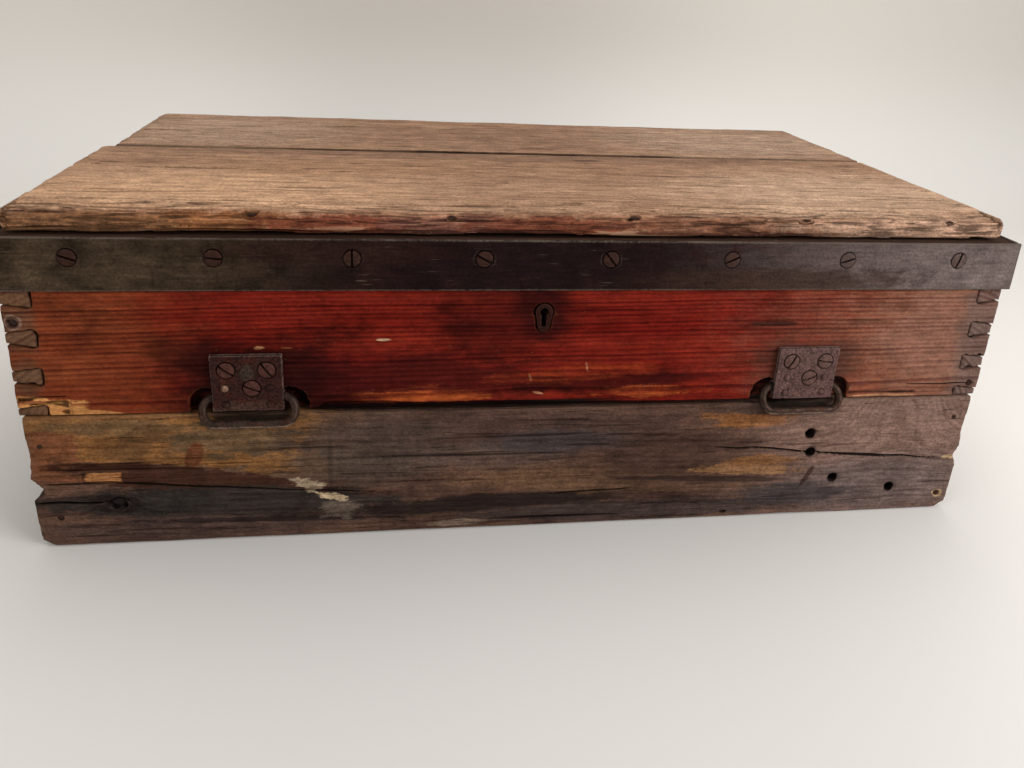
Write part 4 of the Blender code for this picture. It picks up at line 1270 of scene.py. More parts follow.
@dataclass
class Case:
    """The walls of the chest: a dovetailed, varnished course on a weathered one, and the bottom.

    The old bolt holes and the gap between the courses are in millimetres, as the marks are.
    """

    old_holes: tuple[tuple[float, float], ...] = ((230, 78), (233, 60), (257.5, 34.6), (311.6, 23.3))
    hole_radius: float = 4
    gap_start: float = -172
    gap_end: float = 178

    def build(self) -> None:
        """Makes all the boards of the case."""
        for board in (self.front_upper(), self.front_lower(), *self.other_walls(), *self.bottom()):
            board.build()

    def front_upper(self) -> Board:
        """The varnished front board with the keyhole and the ring recesses."""
        marks = (
            Splintered(UNDER, (-150, -215), (-10, -190), 3.2, (30, 6), (9, 20, 9), 0),
            Splintered(UNDER, (-150, -215), (self.gap_end, -190), 3.2, (30, 6), (9, 20, 9), 0),
            Splintered(FRONT, (-372, 108), (-338, 123), 4.5, waves=(40, 260, 260)),
            Splintered(FRONT, (255, 108), (312, 112.5), 2.5, waves=(25, 260, 260)),
            RaggedEnd(LEFT, 2, waves=(70, 70, 85)),
            RaggedEnd(RIGHT, 1.2, waves=(70, 70, 85)),
            Crack(FRONT, ((300, 121.5), (330, 122), (368, 121.8)), 0.6, 1.6),
            Pit(FRONT, (-363, 182), (3.6, 3.6), 1.6),
            Pit(FRONT, (362.2, 121.8), (3.2, 3), 2.2),
            Pit(FRONT, (364.7, 146.4), (2.6, 2), 3),
        )
        orange: Colour = (0.3, 0.062, 0.016)
        dark: Colour = (0.02, 0.0035, 0.003)
        purple: Colour = (0.036, 0.005, 0.0045)
        faded: Colour = (0.185, 0.076, 0.044)
        stains = (
            Stain(350, 160, 150, 75, faded, 0.9, 0.3, 1.3),
            # Painted sheen: a greyish light patch near the right end.
            Stain(345, 165, 75, 50, (0.22, 0.11, 0.076), 0.75, 0.7, 1.1),
            # Painted shadow in the gap under the board's lower edge.
            Stain(-60, 112.5, 118, 3, (0.008, 0.004, 0.003), 1, 0.15, 0.5, boxy=True),
            Stain(-105, 133, 115, 22, purple, 0.75, 0.5, 0.8),
            Stain(-30, 180, 50, 30, dark, 0.55, 0.5, 1),
            Stain(50, 129, 80, 7, dark, 0.7, 0.5, 0.6, turn=0.03),
            Stain(0, 188, 20, 24, dark, 0.8, soft=0.9),
            # Painted shade in the recesses round the two ring plates, here and in the next patch.
            Stain(-210, 135, 56, 32, dark, 0.92, soft=0.8, boxy=True),
            Stain(213, 137, 40, 26, (0.06, 0.026, 0.018), 0.7, soft=0.7, boxy=True),
            Stain(-85, 122, 44, 5.8, orange, 0.9, 0.9, 0.5, mottle=0.5, broken=0.9),
            Stain(-88, 117.5, 50, 1.6, orange, 0.8, 0.6, 0.4, broken=0.6),
            Stain(85, 120.5, 46, 4.6, orange, 0.9, 0.9, 0.5, mottle=0.5, broken=0.9),
            Stain(30, 137, 60, 6, (0.26, 0.04, 0.011), 0.6, 0.8, 0.8, turn=0.05, broken=0.8),
            Stain(35.8, 142.2, 0.9, 3.6, (0.3, 0.13, 0.07), 0.8, 0.3, turn=0.2),
            Stain(-7.7, 134.7, 0.9, 3.4, (0.26, 0.1, 0.05), 0.7, 0.3, turn=0.3),
            Stain(-0.7, 121, 4, 0.8, (0.34, 0.17, 0.09), 0.8, 0.5, turn=-0.2),
            Stain(-117, 166.5, 5.5, 1, PALE_WOOD, 0.9, 0.5),
            Stain(-203, 161.2, 4.2, 1.4, (0.3, 0.15, 0.07), 0.8, 1.2),
            Stain(-185, 161, 6, 0.8, (0.22, 0.08, 0.03), 0.8, 0.8),
            Stain(182, 176.5, 20, 2.2, (0.04, 0.014, 0.009), 0.85, 0.5),
            Stain(-362, 178, 13, 18, (0.12, 0.056, 0.03), 0.85, soft=0.6, boxy=True),
            Stain(-360, 140, 12, 14, (0.09, 0.045, 0.024), 0.8, soft=0.7),
            Stain(-363, 182, 6, 6, (0.24, 0.165, 0.12), 0.75, 0.3, 0.3),
            Stain(-363, 182, 4.6, 4.6, (0.085, 0.042, 0.026), 0.9, 0.2, 0.2),
            Stain(362, 155, 20, 52, (0.125, 0.084, 0.07), 0.8, 0.4, 0.9, boxy=True),
            Stain(354, 145.6, 4.5, 2.4, (0.6, 0.34, 0.12), 0.95, 0.4),
            Stain(-350, 116.5, 26, 7.5, RAW_WOOD, 1, 0.35, 0.2, turn=-0.1, boxy=True),
            Stain(-318, 111.5, 20, 2.6, RAW_WOOD, 1, 0.5, 0.2, turn=-0.04),
            Stain(285, 111.5, 30, 1.4, (0.38, 0.19, 0.1), 0.9, 0.5),
        )
        return Board(
            "front_upper_board", Body.CASE, Slot.VARNISHED,
            PineLog(Axis.X, (-0.152, 0.098), 3.0, 4.0, 0.012, 2.0),
            RED_VARNISH, skin=FRONT, second_outer=BROWN_VARNISH, stains=stains, worn=(0.2, 0.07, 0.03),
            worn_share=0.2, voxel=1.25, along=1.7, fine_depth=0.0, edge=1.3, hollow=0.35,
            grooves=0.3, fade_span=(0.22, 0.36), marks=marks, seed=11,
        )

    def front_lower(self) -> Board:
        """The weathered front board with its old bolt holes, knot and long crack."""
        marks = (
            LostEdge((FRONT, TOP), Axis.X, self.gap_start - 20, self.gap_end + 10, 3.5),
            Splintered(TOP, (-150, -215), (self.gap_end, -190), 2.2, (30, 6), (9, 20, 9), 0),
            *(Drilled(FRONT, place, self.hole_radius) for place in self.old_holes),
            Crack(FRONT, ((132, 68.2), (185, 66.5), (232, 60), (300, 55.5), (372, 48.5)), 0.8, 7),
            Crack(FRONT, ((-372, 54.5), (-300, 53.5), (-190, 42.5), (-120, 38.5)), 1, 1.2),
            Crack(FRONT, ((-372, 39), (-318, 37.5)), 1.1, 4),
            Crack(FRONT, ((10, 30), (85, 32.5)), 0.8, 1.2),
            Pit(FRONT, (-311.5, 36.2), (9, 5), 3),
            Pit(FRONT, (-353, 25.5), (2.6, 2), 2),
            Pit(FRONT, (163.5, 5.5), (3, 1.6), 2),
            Pit(FRONT, (358.7, 15), (3.2, 2.6), 2),
            RaggedEnd(LEFT, 3.2, waves=(60, 60, 70)),
            RaggedEnd(RIGHT, 3.2, waves=(60, 60, 70)),
            Splintered(UNDER, (-370, -210), (370, -186), 1.4, waves=(18, 90, 90)),
            Splintered(FRONT, (-333, 54.5), (-306, 62), 1.6, fade=(2, 2)),
        )
        olive: Colour = (0.195, 0.088, 0.03)
        red_brown: Colour = (0.15, 0.056, 0.026)
        black: Colour = (0.016, 0.011, 0.01)
        tan: Colour = (0.15, 0.082, 0.044)
        ochre: Colour = (0.2, 0.08, 0.026)
        grey: Colour = (0.1, 0.066, 0.052)
        paint: Colour = (0.36, 0.27, 0.18)
        stains = (
            # Partly painted haze and light, partly weathered wood: the right end is lighter and greyer.
            Stain(330, 60, 140, 90, (0.165, 0.105, 0.085), 0.85, 0.3, 1.3),
            Stain(-200, 80, 60, 32, (0.11, 0.066, 0.036), 0.6, 0.5, 1),
            # Painted shadow in the gap under the upper board.
            Stain(10, 111, 200, 3, (0.008, 0.005, 0.004), 1, 0.1, 0.4),
            Stain(-270, 92, 112, 29, olive, 0.95, 0.45, 0.2, turn=-0.05, boxy=True, mottle=0.4),
            Stain(-225, 88, 50, 14, (0.105, 0.072, 0.042), 0.75, 0.9, 0.6, mottle=0.4),
            Stain(-310, 100, 45, 7, (0.13, 0.08, 0.04), 0.7, 0.8, 0.6),
            Stain(-130, 75, 60, 30, (0.07, 0.051, 0.041), 0.75, 0.6, 0.8),
            Stain(-352, 80, 18, 17, red_brown, 0.95, 0.35, 0.12, boxy=True),
            Stain(-330, 63, 45, 8, red_brown, 0.8, 0.5, 0.5),
            Stain(-255, 74, 6, 14, (0.12, 0.042, 0.018), 0.95, 0.3, 0.15, turn=-0.35),
            Stain(-293, 86, 26, 10, (0.1, 0.05, 0.022), 0.7, 0.7, turn=0.5),
            Stain(-252, 52.5, 98, 12, (0.048, 0.019, 0.012), 0.97, 0.35, 0.15, turn=-0.15),
            Stain(-180, 43, 75, 5, (0.05, 0.022, 0.014), 0.9, 0.4, 0.3, turn=-0.1),
            Stain(-240, 34, 130, 14, (0.026, 0.022, 0.02), 0.92, 0.45, 0.5, turn=-0.03),
            Stain(-311, 36.2, 16, 8.5, black, 1, 0.7, 0.5),
            Stain(-265, 12, 110, 11, (0.062, 0.038, 0.032), 0.8, 0.5, 0.6),
            Stain(-200, 17, 100, 2.2, black, 0.8, 0.6, turn=-0.03),
            Stain(-20, 88, 160, 20, (0.06, 0.036, 0.03), 0.6, 0.5, 0.8),
            Stain(-35, 66, 55, 11, grey, 0.65, 0.6, 0.8),
            Stain(20, 78, 55, 10, (0.04, 0.036, 0.038), 0.7, 0.6, 0.8),
            Stain(-40, 24, 140, 7.5, black, 0.9, 0.5, 0.5, turn=0.03),
            Stain(50, 41, 110, 11, tan, 0.65, 0.7, 0.7, turn=-0.06),
            Stain(90, 12, 150, 9, (0.04, 0.03, 0.028), 0.8, 0.4, 0.5),
            Stain(120, 55, 80, 30, (0.05, 0.026, 0.019), 0.7, 0.5, 0.9),
            Stain(178, 92.5, 36, 6.2, ochre, 0.85, 0.8, 0.4, boxy=True),
            Stain(182, 46, 46, 5, (0.22, 0.112, 0.052), 0.9, 0.9, 0.35, turn=-0.06),
            Stain(190, 54.5, 34, 4.5, (0.17, 0.075, 0.026), 0.8, 0.7, 0.5),
            Stain(150, 38.5, 75, 2.8, (0.035, 0.02, 0.016), 0.9, 0.5, turn=-0.05),
            # Partly painted haze and light, partly weathered wood: lighter, greyer patches at the right end.
            Stain(290, 80, 85, 32, (0.2, 0.122, 0.095), 0.6, 0.4, 0.9),
            Stain(300, 28, 80, 26, (0.115, 0.085, 0.08), 0.75, 0.4, 0.8),
            Stain(225, 22, 45, 10, (0.035, 0.031, 0.032), 0.8, 0.6, 0.6),
            Stain(233, 37, 2.2, 11, (0.035, 0.018, 0.014), 0.8, 0.6, turn=-0.45),
            Stain(-172, 47, 15, 5.2, paint, 0.8, 1.1, 0.3, turn=-0.25),
            Stain(-157, 35.5, 15, 3.4, (0.5, 0.38, 0.24), 0.95, 1.1, 0.2, turn=-0.3),
            Stain(-150, 25, 15, 8, (0.15, 0.115, 0.09), 0.75, 0.9, 0.5),
            Stain(-157, 64, 1.8, 30, (0.035, 0.024, 0.018), 0.5, 0.5, 1),
            Stain(-319.5, 58, 12.5, 4.2, (0.33, 0.145, 0.055), 0.95, 0.35, 0.2, boxy=True),
            Stain(-62, 6.5, 22, 3, (0.19, 0.135, 0.1), 0.7, 0.6),
            Stain(358.7, 15, 5.2, 4, (0.45, 0.31, 0.17), 0.85, 0.5),
            Stain(360, 51.5, 6, 2.2, (0.45, 0.31, 0.17), 0.85, 0.4),
            # Painted shadow cast by the ring plates inside the rings.
            *(Stain(x, 105.5, 31, 8.5, (0.01, 0.007, 0.006), 0.96, 0.25, 0.5, boxy=True) for x in (-213, 213)),
            # Painted shade inside the old bolt holes.
            *(Stain(x, z, 4.4, 4.4, black, 0.97, 0.1) for x, z in self.old_holes),
        )
        return Board(
            "front_lower_board", Body.CASE, Slot.WEATHERED,
            PineLog(
                Axis.X, (-0.15, 0.15), 4.2, 7.0, -0.02, 5.0,
                knots=((0.308, 0.112, 0.045, 0.045), (-0.3115, 0.0362, 0.016, 0.014)),
            ),
            WEATHERED, skin=FRONT, stains=stains, worn=(0.15, 0.09, 0.06), worn_share=0.3,
            voxel=1.4, along=1.6, fine_depth=0.0, edge=2.0, hollow=0.6, grooves=0.45, relief=0.7,
            marks=marks, seed=23,
        )

    def other_walls(self) -> list[Board]:
        """The back and the two sides, upper and lower."""
        boards = [
            Board(
                "back_upper_board", Body.CASE, Slot.VARNISHED, PineLog(Axis.X, (0.15, 0.23), 4.4, 6, 0.02, 31.0),
                BROWN_VARNISH, skin=BACK, worn=(0.22, 0.12, 0.07), edge=1.4, seed=31,
                marks=(RaggedEnd(LEFT, 3.5), RaggedEnd(RIGHT, 3.5)),
                stains=(
                    Stain(-120, 135, 160, 18, (0.05, 0.022, 0.016), 0.7, 0.6, 0.8),
                    Stain(200, 170, 90, 20, (0.17, 0.035, 0.012), 0.6, 0.6, 0.9),
                ),
            ),
            Board(
                "back_lower_board", Body.CASE, Slot.WEATHERED, PineLog(Axis.X, (0.26, -0.02), 4.8, 7, -0.02, 37.0),
                WEATHERED, skin=BACK, worn=(0.17, 0.115, 0.085), edge=2.0, seed=37, relief=0.6,
                marks=(
                    RaggedEnd(LEFT, 4), RaggedEnd(RIGHT, 4),
                    Crack(BACK, ((-372, 71), (-250, 68), (-140, 70)), 1.2, 5),
                    Splintered(UNDER, (-370, 186), (370, 210), 2, waves=(18, 90, 90)),
                ),
                stains=(
                    Stain(180, 75, 150, 26, (0.145, 0.085, 0.042), 0.75, 0.6, 0.6),
                    Stain(-160, 30, 170, 16, (0.024, 0.019, 0.017), 0.85, 0.5, 0.5),
                    Stain(-260, 85, 90, 18, (0.1, 0.072, 0.058), 0.6, 0.5, 0.8),
                ),
            ),
        ]
        for name, face, seed in (("left", LEFT, 41), ("right", RIGHT, 47)):
            outside = face.sign * 0.37
            end_grain: Colour = (0.135, 0.092, 0.078) if face is RIGHT else (0.13, 0.07, 0.038)
            boards.append(Board(
                f"{name}_upper_board", Body.CASE, Slot.VARNISHED,
                PineLog(Axis.Y, (outside - face.sign * 0.055, 0.095), 4.2, 5, 0.03, float(seed)),
                BROWN_VARNISH, skin=face, worn=(0.1, 0.05, 0.03), worn_share=0.2, edge=1.0, seed=seed,
                voxel=1.6, fine_depth=0.0,
                marks=(RaggedEnd(FRONT, 1.8, zone=14), RaggedEnd(BACK, 1.8, zone=14)),
                stains=(
                    Stain(50, 165, 120, 28, (0.2, 0.04, 0.014), 0.6, 0.6, 0.9),
                    Stain(-170, 150, 40, 50, (0.07, 0.045, 0.034), 0.7, 0.5, 0.9),
                    Stain(-200, 155, 16, 60, end_grain, 0.95, soft=0.6, boxy=True),
                    Stain(200, 155, 16, 60, end_grain, 0.95, soft=0.6, boxy=True),
                    Stain(20, 122, 140, 9, (0.036, 0.014, 0.011), 0.7, 0.6, 0.6),
                ),
            ))
            boards.append(Board(
                f"{name}_lower_board", Body.CASE, Slot.WEATHERED,
                PineLog(Axis.Y, (outside - face.sign * 0.07, 0.14), 5.0, 6, -0.03, float(seed + 3)),
                WEATHERED, skin=face, worn=(0.17, 0.115, 0.085), edge=2.0, seed=seed + 3, relief=0.6, voxel=1.6,
                marks=(
                    Crack(face, ((-180, 52), (-90, 50), (10, 54)), 1.2, 4),
                    Splintered(UNDER, (face.sign * 360 - 20, -180), (face.sign * 360 + 20, 180), 2,
                               waves=(90, 18, 90)),
                ),
                stains=(
                    Stain(60, 80, 100, 22, (0.14, 0.085, 0.045), 0.7, 0.6, 0.6),
                    Stain(-50, 28, 140, 14, (0.024, 0.019, 0.017), 0.85, 0.5, 0.5),
                ),
            ))
        return boards

    def bottom(self) -> list[Board]:
        """The five bottom boards, bare on both sides."""
        boards = []
        for number in range(1, 6):
            low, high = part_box(f"bottom_board_{number}")
            middle = (low.x + high.x) / 2
            boards.append(Board(
                f"bottom_board_{number}", Body.CASE, Slot.INNER,
                PineLog(Axis.Y, (middle + 0.02 * (number - 3), -0.06 + 0.16 * (number % 2)), 4.6, 6,
                        0.04 * (number % 3 - 1), 60.0 + number),
                BARE_PINE, worn=(0.16, 0.1, 0.06), edge=1.2, voxel=2.4, along=2.0, hollow=0.4,
                seed=60 + number,
            ))
        return boards


@dataclass
class Lid:
    """The lid: two worn boards nailed on a rim of four rails, with its nails in millimetres."""

    nail_places: tuple[float, ...] = (-205, -69, 63, 198, 316)
    nail_y: float = -191.5

    def build(self) -> None:
        """Makes the boards and the rails."""
        for board in (self.front_board(), self.rear_board(), *self.rails()):
            board.build()

    def front_board(self) -> Board:
        """The front board, with its arris worn off in flakes."""
        marks = (
            LostEdge((FRONT, TOP), Axis.X, -500, 500, 12.5),
            LostEdge((FRONT, UNDER), Axis.X, -500, 500, 2),
            Splintered(TOP, (-370, 18), (370, 30), 2.2, (4, 5), (22, 60, 60), 0),
            Flaked((FRONT, TOP), 42, 6.5, (13, 105, 105)),
            RaggedEnd(LEFT, 3, 4, 20, waves=(50, 60, 50)),
            RaggedEnd(RIGHT, 1, waves=(50, 60, 50)),
            LostEdge((RIGHT, FRONT), Axis.Z, 200, 300, 1),
            LostEdge((FRONT, UNDER), Axis.X, 345, 500, 11, 45),
            LostEdge((RIGHT, UNDER), Axis.Y, -500, -160, 9, 45),
            LostEdge((RIGHT, TOP), Axis.Y, -140, 500, 4),
            LostEdge((LEFT, TOP), Axis.Y, -500, 500, 4),
            *(Pit(TOP, (x, self.nail_y), (5.5, 2.6), 3.5) for x in self.nail_places),
            Pit(TOP, (348.4, -105), (4, 2.2), 3),
            Pit(TOP, (348, -152), (4, 2.2), 3),
            Pit(TOP, (-344, -60), (4, 2.2), 3),
            Crack(TOP, ((-362, -165), (-250, -168), (-205, -166.5)), 1.1, 2.5),
            Crack(TOP, ((-240, -104), (-100, -107), (20, -103.5)), 0.9, 1.6),
            Crack(TOP, ((190, -60), (362, -57)), 0.9, 2),
            Crack(TOP, ((-366, -20), (-300, -18)), 1, 3),
        )
        red: Colour = (0.165, 0.046, 0.024)
        ochre: Colour = (0.205, 0.08, 0.03)
        violet: Colour = (0.18, 0.072, 0.052)
        stains = (
            Stain(-160, -60, 100, 30, (0.42, 0.22, 0.1), 0.35, 0.7, 1),
            # Painted light: lighter at the front-left corner.
            Stain(-260, -140, 140, 60, (0.62, 0.38, 0.225), 0.7, 0.3, 1.4),
            # Painted shade: darker in the middle of the front board.
            Stain(0, -30, 260, 60, (0.28, 0.155, 0.092), 0.6, 0.3, 1.4),
            # Painted shade in the gap between the two lid boards.
            Stain(0, 22.5, 400, 1.8, (0.05, 0.027, 0.018), 0.9, 0.3, 0.6, boxy=True),
            # Painted light: lighter at the front-right corner.
            Stain(260, -120, 130, 80, (0.53, 0.365, 0.25), 0.6, 0.5, 1.2),
            Stain(10, 5, 300, 22, (0.17, 0.098, 0.066), 0.5, 0.5, 0.9),
            Stain(67, -8, 14, 4, (0.1, 0.055, 0.036), 0.8, 0.6),
            Stain(-177, -65, 6, 2, (0.07, 0.04, 0.028), 0.8, 0.4),
            Stain(-139, -42, 8, 2, (0.08, 0.046, 0.03), 0.8, 0.5),
            Stain(-241, -176, 12, 3, (0.11, 0.06, 0.038), 0.7, 0.6),
            Stain(0, -206, 390, 16, (0.24, 0.108, 0.06), 0.8, 0.8, 0.6, boxy=True, mottle=0.7),
            # Painted shade on the lower half of the worn front edge.
            Stain(60, -213, 230, 8, (0.06, 0.016, 0.01), 0.85, 0.8, 0.5, boxy=True),
            Stain(-225, -205, 62, 11, ochre, 0.95, 0.8, 0.4, mottle=0.6),
            Stain(-150, -206, 58, 10, red, 0.95, 0.7, 0.35, mottle=0.6),
            Stain(-70, -203, 45, 9, violet, 0.75, 0.8, 0.5),
            Stain(10, -204, 70, 7, red, 0.85, 0.9, 0.4),
            Stain(110, -203, 60, 8, (0.19, 0.08, 0.046), 0.7, 0.9, 0.5),
            Stain(300, -203, 110, 13, (0.46, 0.285, 0.195), 0.85, 0.7, 0.7, mottle=0.6),
            Stain(-330, -206, 80, 11, (0.27, 0.128, 0.06), 0.9, 0.8, 0.5, mottle=0.6),
        )
        return Board(
            "lid_front_board", Body.LID, Slot.LID,
            PineLog(Axis.X, (-0.06, 0.08), 3.6, 6, 0.02, 71.0, check_waves=250.0),
            LID_TOP, skin=TOP, bare=False, unroll=True, stains=stains, worn=(0.46, 0.28, 0.17), worn_share=0.5,
            worn_from=0.5, voxel=2.8, along=1.85, edge=2.0, hollow=1.0, grooves=0.4, relief=0.9, shadow=0.42,
            marks=marks, seed=71,
        )

    def rear_board(self) -> Board:
        """The rear board."""
        nails = ((-300, 186), (-150, 187), (0, 186), (150, 187), (300, 186), (-346, 98), (352, 95))
        marks = (
            RaggedEnd(LEFT, 4, 4, 20, waves=(50, 60, 50)),
            RaggedEnd(RIGHT, 6, 4, 18, waves=(50, 60, 50)),
            LostEdge((FRONT, TOP), Axis.X, -500, 500, 2.5),
            LostEdge((RIGHT, TOP), Axis.Y, -500, 500, 5),
            LostEdge((LEFT, TOP), Axis.Y, -500, 500, 5),
            Splintered(TOP, (-360, 190), (360, 210), 1.5, waves=(22, 150, 150)),
            *(Pit(TOP, place, (4, 2.2), 2.4) for place in nails),
            Pit(TOP, (-158, 141), (9, 3), 1.4),
            Crack(TOP, ((-355, 97), (-300, 95)), 1, 3),
            Crack(TOP, ((200, 120), (362, 118)), 0.9, 2),
        )
        stains = (
            Stain(-61, 146, 14, 10, (0.46, 0.31, 0.17), 0.7, 0.8, 0.7),
            # Painted shade: darker in the middle of the rear board.
            Stain(0, 110, 240, 90, (0.23, 0.132, 0.084), 0.65, 0.3, 1.4),
            # Painted shade in the gap between the two lid boards.
            Stain(0, 20.5, 400, 4, (0.02, 0.011, 0.007), 1, 0.1, 0.2, boxy=True),
            Stain(-158, 141, 14, 3, (0.1, 0.056, 0.038), 0.7, 0.4),
            # Painted light: lighter towards both ends of the rear board.
            Stain(260, 110, 130, 90, (0.42, 0.3, 0.22), 0.55, 0.6, 1.2),
            Stain(-280, 110, 110, 90, (0.38, 0.27, 0.195), 0.55, 0.6, 1.2),
        )
        return Board(
            "lid_rear_board", Body.LID, Slot.LID,
            PineLog(Axis.X, (0.18, 0.17), 3.8, 6, -0.02, 83.0, check_waves=220.0),
            LID_TOP, skin=TOP, bare=False, unroll=True, stains=stains, worn=(0.24, 0.14, 0.085), worn_share=0.4,
            voxel=2.6, along=1.85, edge=1.8, hollow=0.9, grooves=0.4, relief=0.8, shadow=0.5, marks=marks, seed=83,
        )

    def rails(self) -> list[Board]:
        """The four rails under the boards, painted near black outside so that the gap above the band reads as
        shadow.
        """
        boards = []
        for number, (name, axis, pith) in enumerate((
            ("front", Axis.X, (-0.25, 0.19)), ("back", Axis.X, (0.15, 0.26)),
            ("left", Axis.Y, (-0.42, 0.2)), ("right", Axis.Y, (0.33, 0.27)),
        )):
            boards.append(Board(
                f"lid_{name}_rail", Body.LID, Slot.INNER, PineLog(axis, pith, 4.4, 5, 0.02, 90.0 + number),
                GAP_SHADE_PINE, skin=Face[name.upper()], worn=(0.06, 0.03, 0.02), edge=1.2, voxel=2.2, along=2.0,
                fine_depth=0.0, hollow=0.3, grooves=0.25, seed=90 + number,
            ))
        return boards


@dataclass
class IronPiece:
    """A metal piece in the place of one node: hammered, pitted and worn, with its sizes in millimetres.

    A hole has its place in the front and its radius in metres, and its share of the painted shade round its rim.
    """

    node: str
    body: Body
    slot: Slot
    iron: Iron
    voxel: float
    stretch: tuple[float, float, float] = (1, 1, 1)
    edge: float = 0.5
    dents: float = 0.15
    dent_waves: float = 40.0
    pits: float = 0.1
    pit_waves: float = 320.0
    seed: int = 3
    box_like: bool = True
    holes: tuple[tuple[float, float, float, float], ...] = ()

    HOLE_SHADE = 1.1 * MM

    def build(self) -> bpy.types.Object:
        """Makes the piece.

        Returns:
            The piece, riding on its body in the place of the node.
        """
        shape = Shape(self.node, self.voxel * MM, self.stretch)
        noise = Noise(self.seed)
        if self.box_like:
            ragged = 1 + 0.5 * noise(shape.points, (60, 60, 60), 2)
            shape.round_edges(self.edge * MM * np.clip(ragged, 0.4, 2.0))
            shape.refresh()
        pits = smoothstep(noise(shape.points, [self.pit_waves] * 3, 2), 0.15, 0.6)
        dents = 0.5 + 0.5 * noise(shape.points, [self.dent_waves] * 3, 2)
        shape.sink(self.dents * MM * np.clip(dents, 0, 1) + self.pits * MM * pits)
        # Painted shade: a dark ring round each screw head and rivet stands in for the shade in the gap between head
        # and plate.
        dirt_and_painted_shade = np.zeros(len(shape.points))
        for x, z, radius, amount in self.holes:
            rim = np.abs(np.hypot(shape.points[:, 0] - x, shape.points[:, 2] - z) - radius)
            dirt_and_painted_shade = np.maximum(dirt_and_painted_shade, amount * smoothstep(rim, self.HOLE_SHADE, 0.4 * self.HOLE_SHADE))
        piece = shape.finish(f"aged_{self.node}", self.iron.dress(f"{self.node}_iron"), dirt_and_painted_shade)
        keep(piece, self.body, [self.node])
        return piece


def front_screws(nodes: Iterable[str]) -> list[tuple[float, float, float, float]]:
    """The place in the front, the head's radius and the share of painted shade round each screw node."""
    boxes = [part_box(node) for node in nodes]
    return [((low.x + high.x) / 2, (low.z + high.z) / 2, (high.x - low.x) / 2, 1.0) for low, high in boxes]


@dataclass
class Ironwork:
    """The band round the lid, the plates of the ring handles and the escutcheon."""

    rivet_x: float = 15.5 * MM
    rivet_heights: tuple[float, ...] = (18.5 * MM, 5.5 * MM)
    rivet_radius: float = 2.7 * MM

    def build(self) -> None:
        """Makes all the pieces of sheet and bar."""
        self.band()
        for side in ("left", "right"):
            holes = front_screws(f"ring_screw_{side}_{i + 1}" for i in range(3))
            # Rivets take half the painted shade round their rims.
            holes += [(x, z, self.rivet_radius, 0.5) for x, z in self.rivets(side)]
            IronPiece(f"ring_plate_{side}", Body.CASE, Slot.IRON, PLATE_IRON, 0.5, edge=0.9, dents=0.45,
                      dent_waves=55, pits=0.35, seed=len(side), holes=tuple(holes)).build()
            IronPiece(f"ring_backing_{side}", Body.CASE, Slot.IRON, PLATE_IRON, 0.7, box_like=False).build()
        IronPiece("keyhole_escutcheon", Body.CASE, Slot.IRON, ESCUTCHEON_IRON, 0.35, dents=0.1,
                  box_like=False).build()

    def rivets(self, side: str) -> list[tuple[float, float]]:
        """The places of a ring plate's rivets in the front."""
        low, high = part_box(f"ring_plate_{side}")
        middle = (low.x + high.x) / 2
        return [(middle + x, low.z + z) for x in (-self.rivet_x, self.rivet_x) for z in self.rivet_heights]

    def band(self) -> None:
        """The front band and the two side bands."""
        holes = front_screws(f"band_screw_{i + 1}" for i in range(8))
        IronPiece("band_front", Body.LID, Slot.BAND, BAND_STEEL, 0.75, (1.5, 1, 1), edge=0.7,
                  dents=0.45, dent_waves=9, pits=0.1, pit_waves=180, seed=5, holes=tuple(holes)).build()
        for name in ("band_left", "band_right"):
            IronPiece(name, Body.LID, Slot.BAND, BAND_STEEL, 0.9, (1, 1.6, 1), edge=0.7, dents=0.45,
                      dent_waves=9, pits=0.1, pit_waves=180, seed=6).build()


@dataclass
class KeptNodes:
    """CAD nodes whose shape is right and which only take a finish."""

    iron: tuple[str, ...] = (
        "hinge_case_leaf_left", "hinge_case_leaf_right", "hinge_lid_leaf_left", "hinge_lid_leaf_right",
        "hinge_pin_left", "hinge_pin_right", "lock_plate", "lock_cap", "lock_key_pin", "lock_keeper", "lock_bolt",
        "lock_bolt_spring",
    )
    wood: tuple[str, ...] = ("front_tongue", "back_tongue", "left_tongue", "right_tongue")

    def dress(self) -> None:
        """Gives each node its material."""
        iron = NAIL_IRON.dress("hinge_and_lock_iron")
        for node in self.iron:
            self.give(node, iron)
        for number, node in enumerate(self.wood):
            axis = Axis.X if number < 2 else Axis.Y
            graph = Graph(f"{node}_wood")
            grain = Grain.of(graph, PineLog(axis, (0.05, 0.09), seed=100.0 + number))
            graph.put("Base Color", GAP_SHADE_PINE.figure(graph, grain, GAP_SHADE_PINE.ground(graph, grain)))
            graph.put("Roughness", GAP_SHADE_PINE.roughness)
            graph.bump(grain.fibre, 0.3 * MM)
            self.give(node, graph.material)

    @staticmethod
    def give(node: str, material: bpy.types.Material) -> None:
        """Puts a material on a node's object."""
        piece = frame["nodes"][node]
        piece.data.materials.clear()
        piece.data.materials.append(material)
        LOG.info("%s: dressed", node)


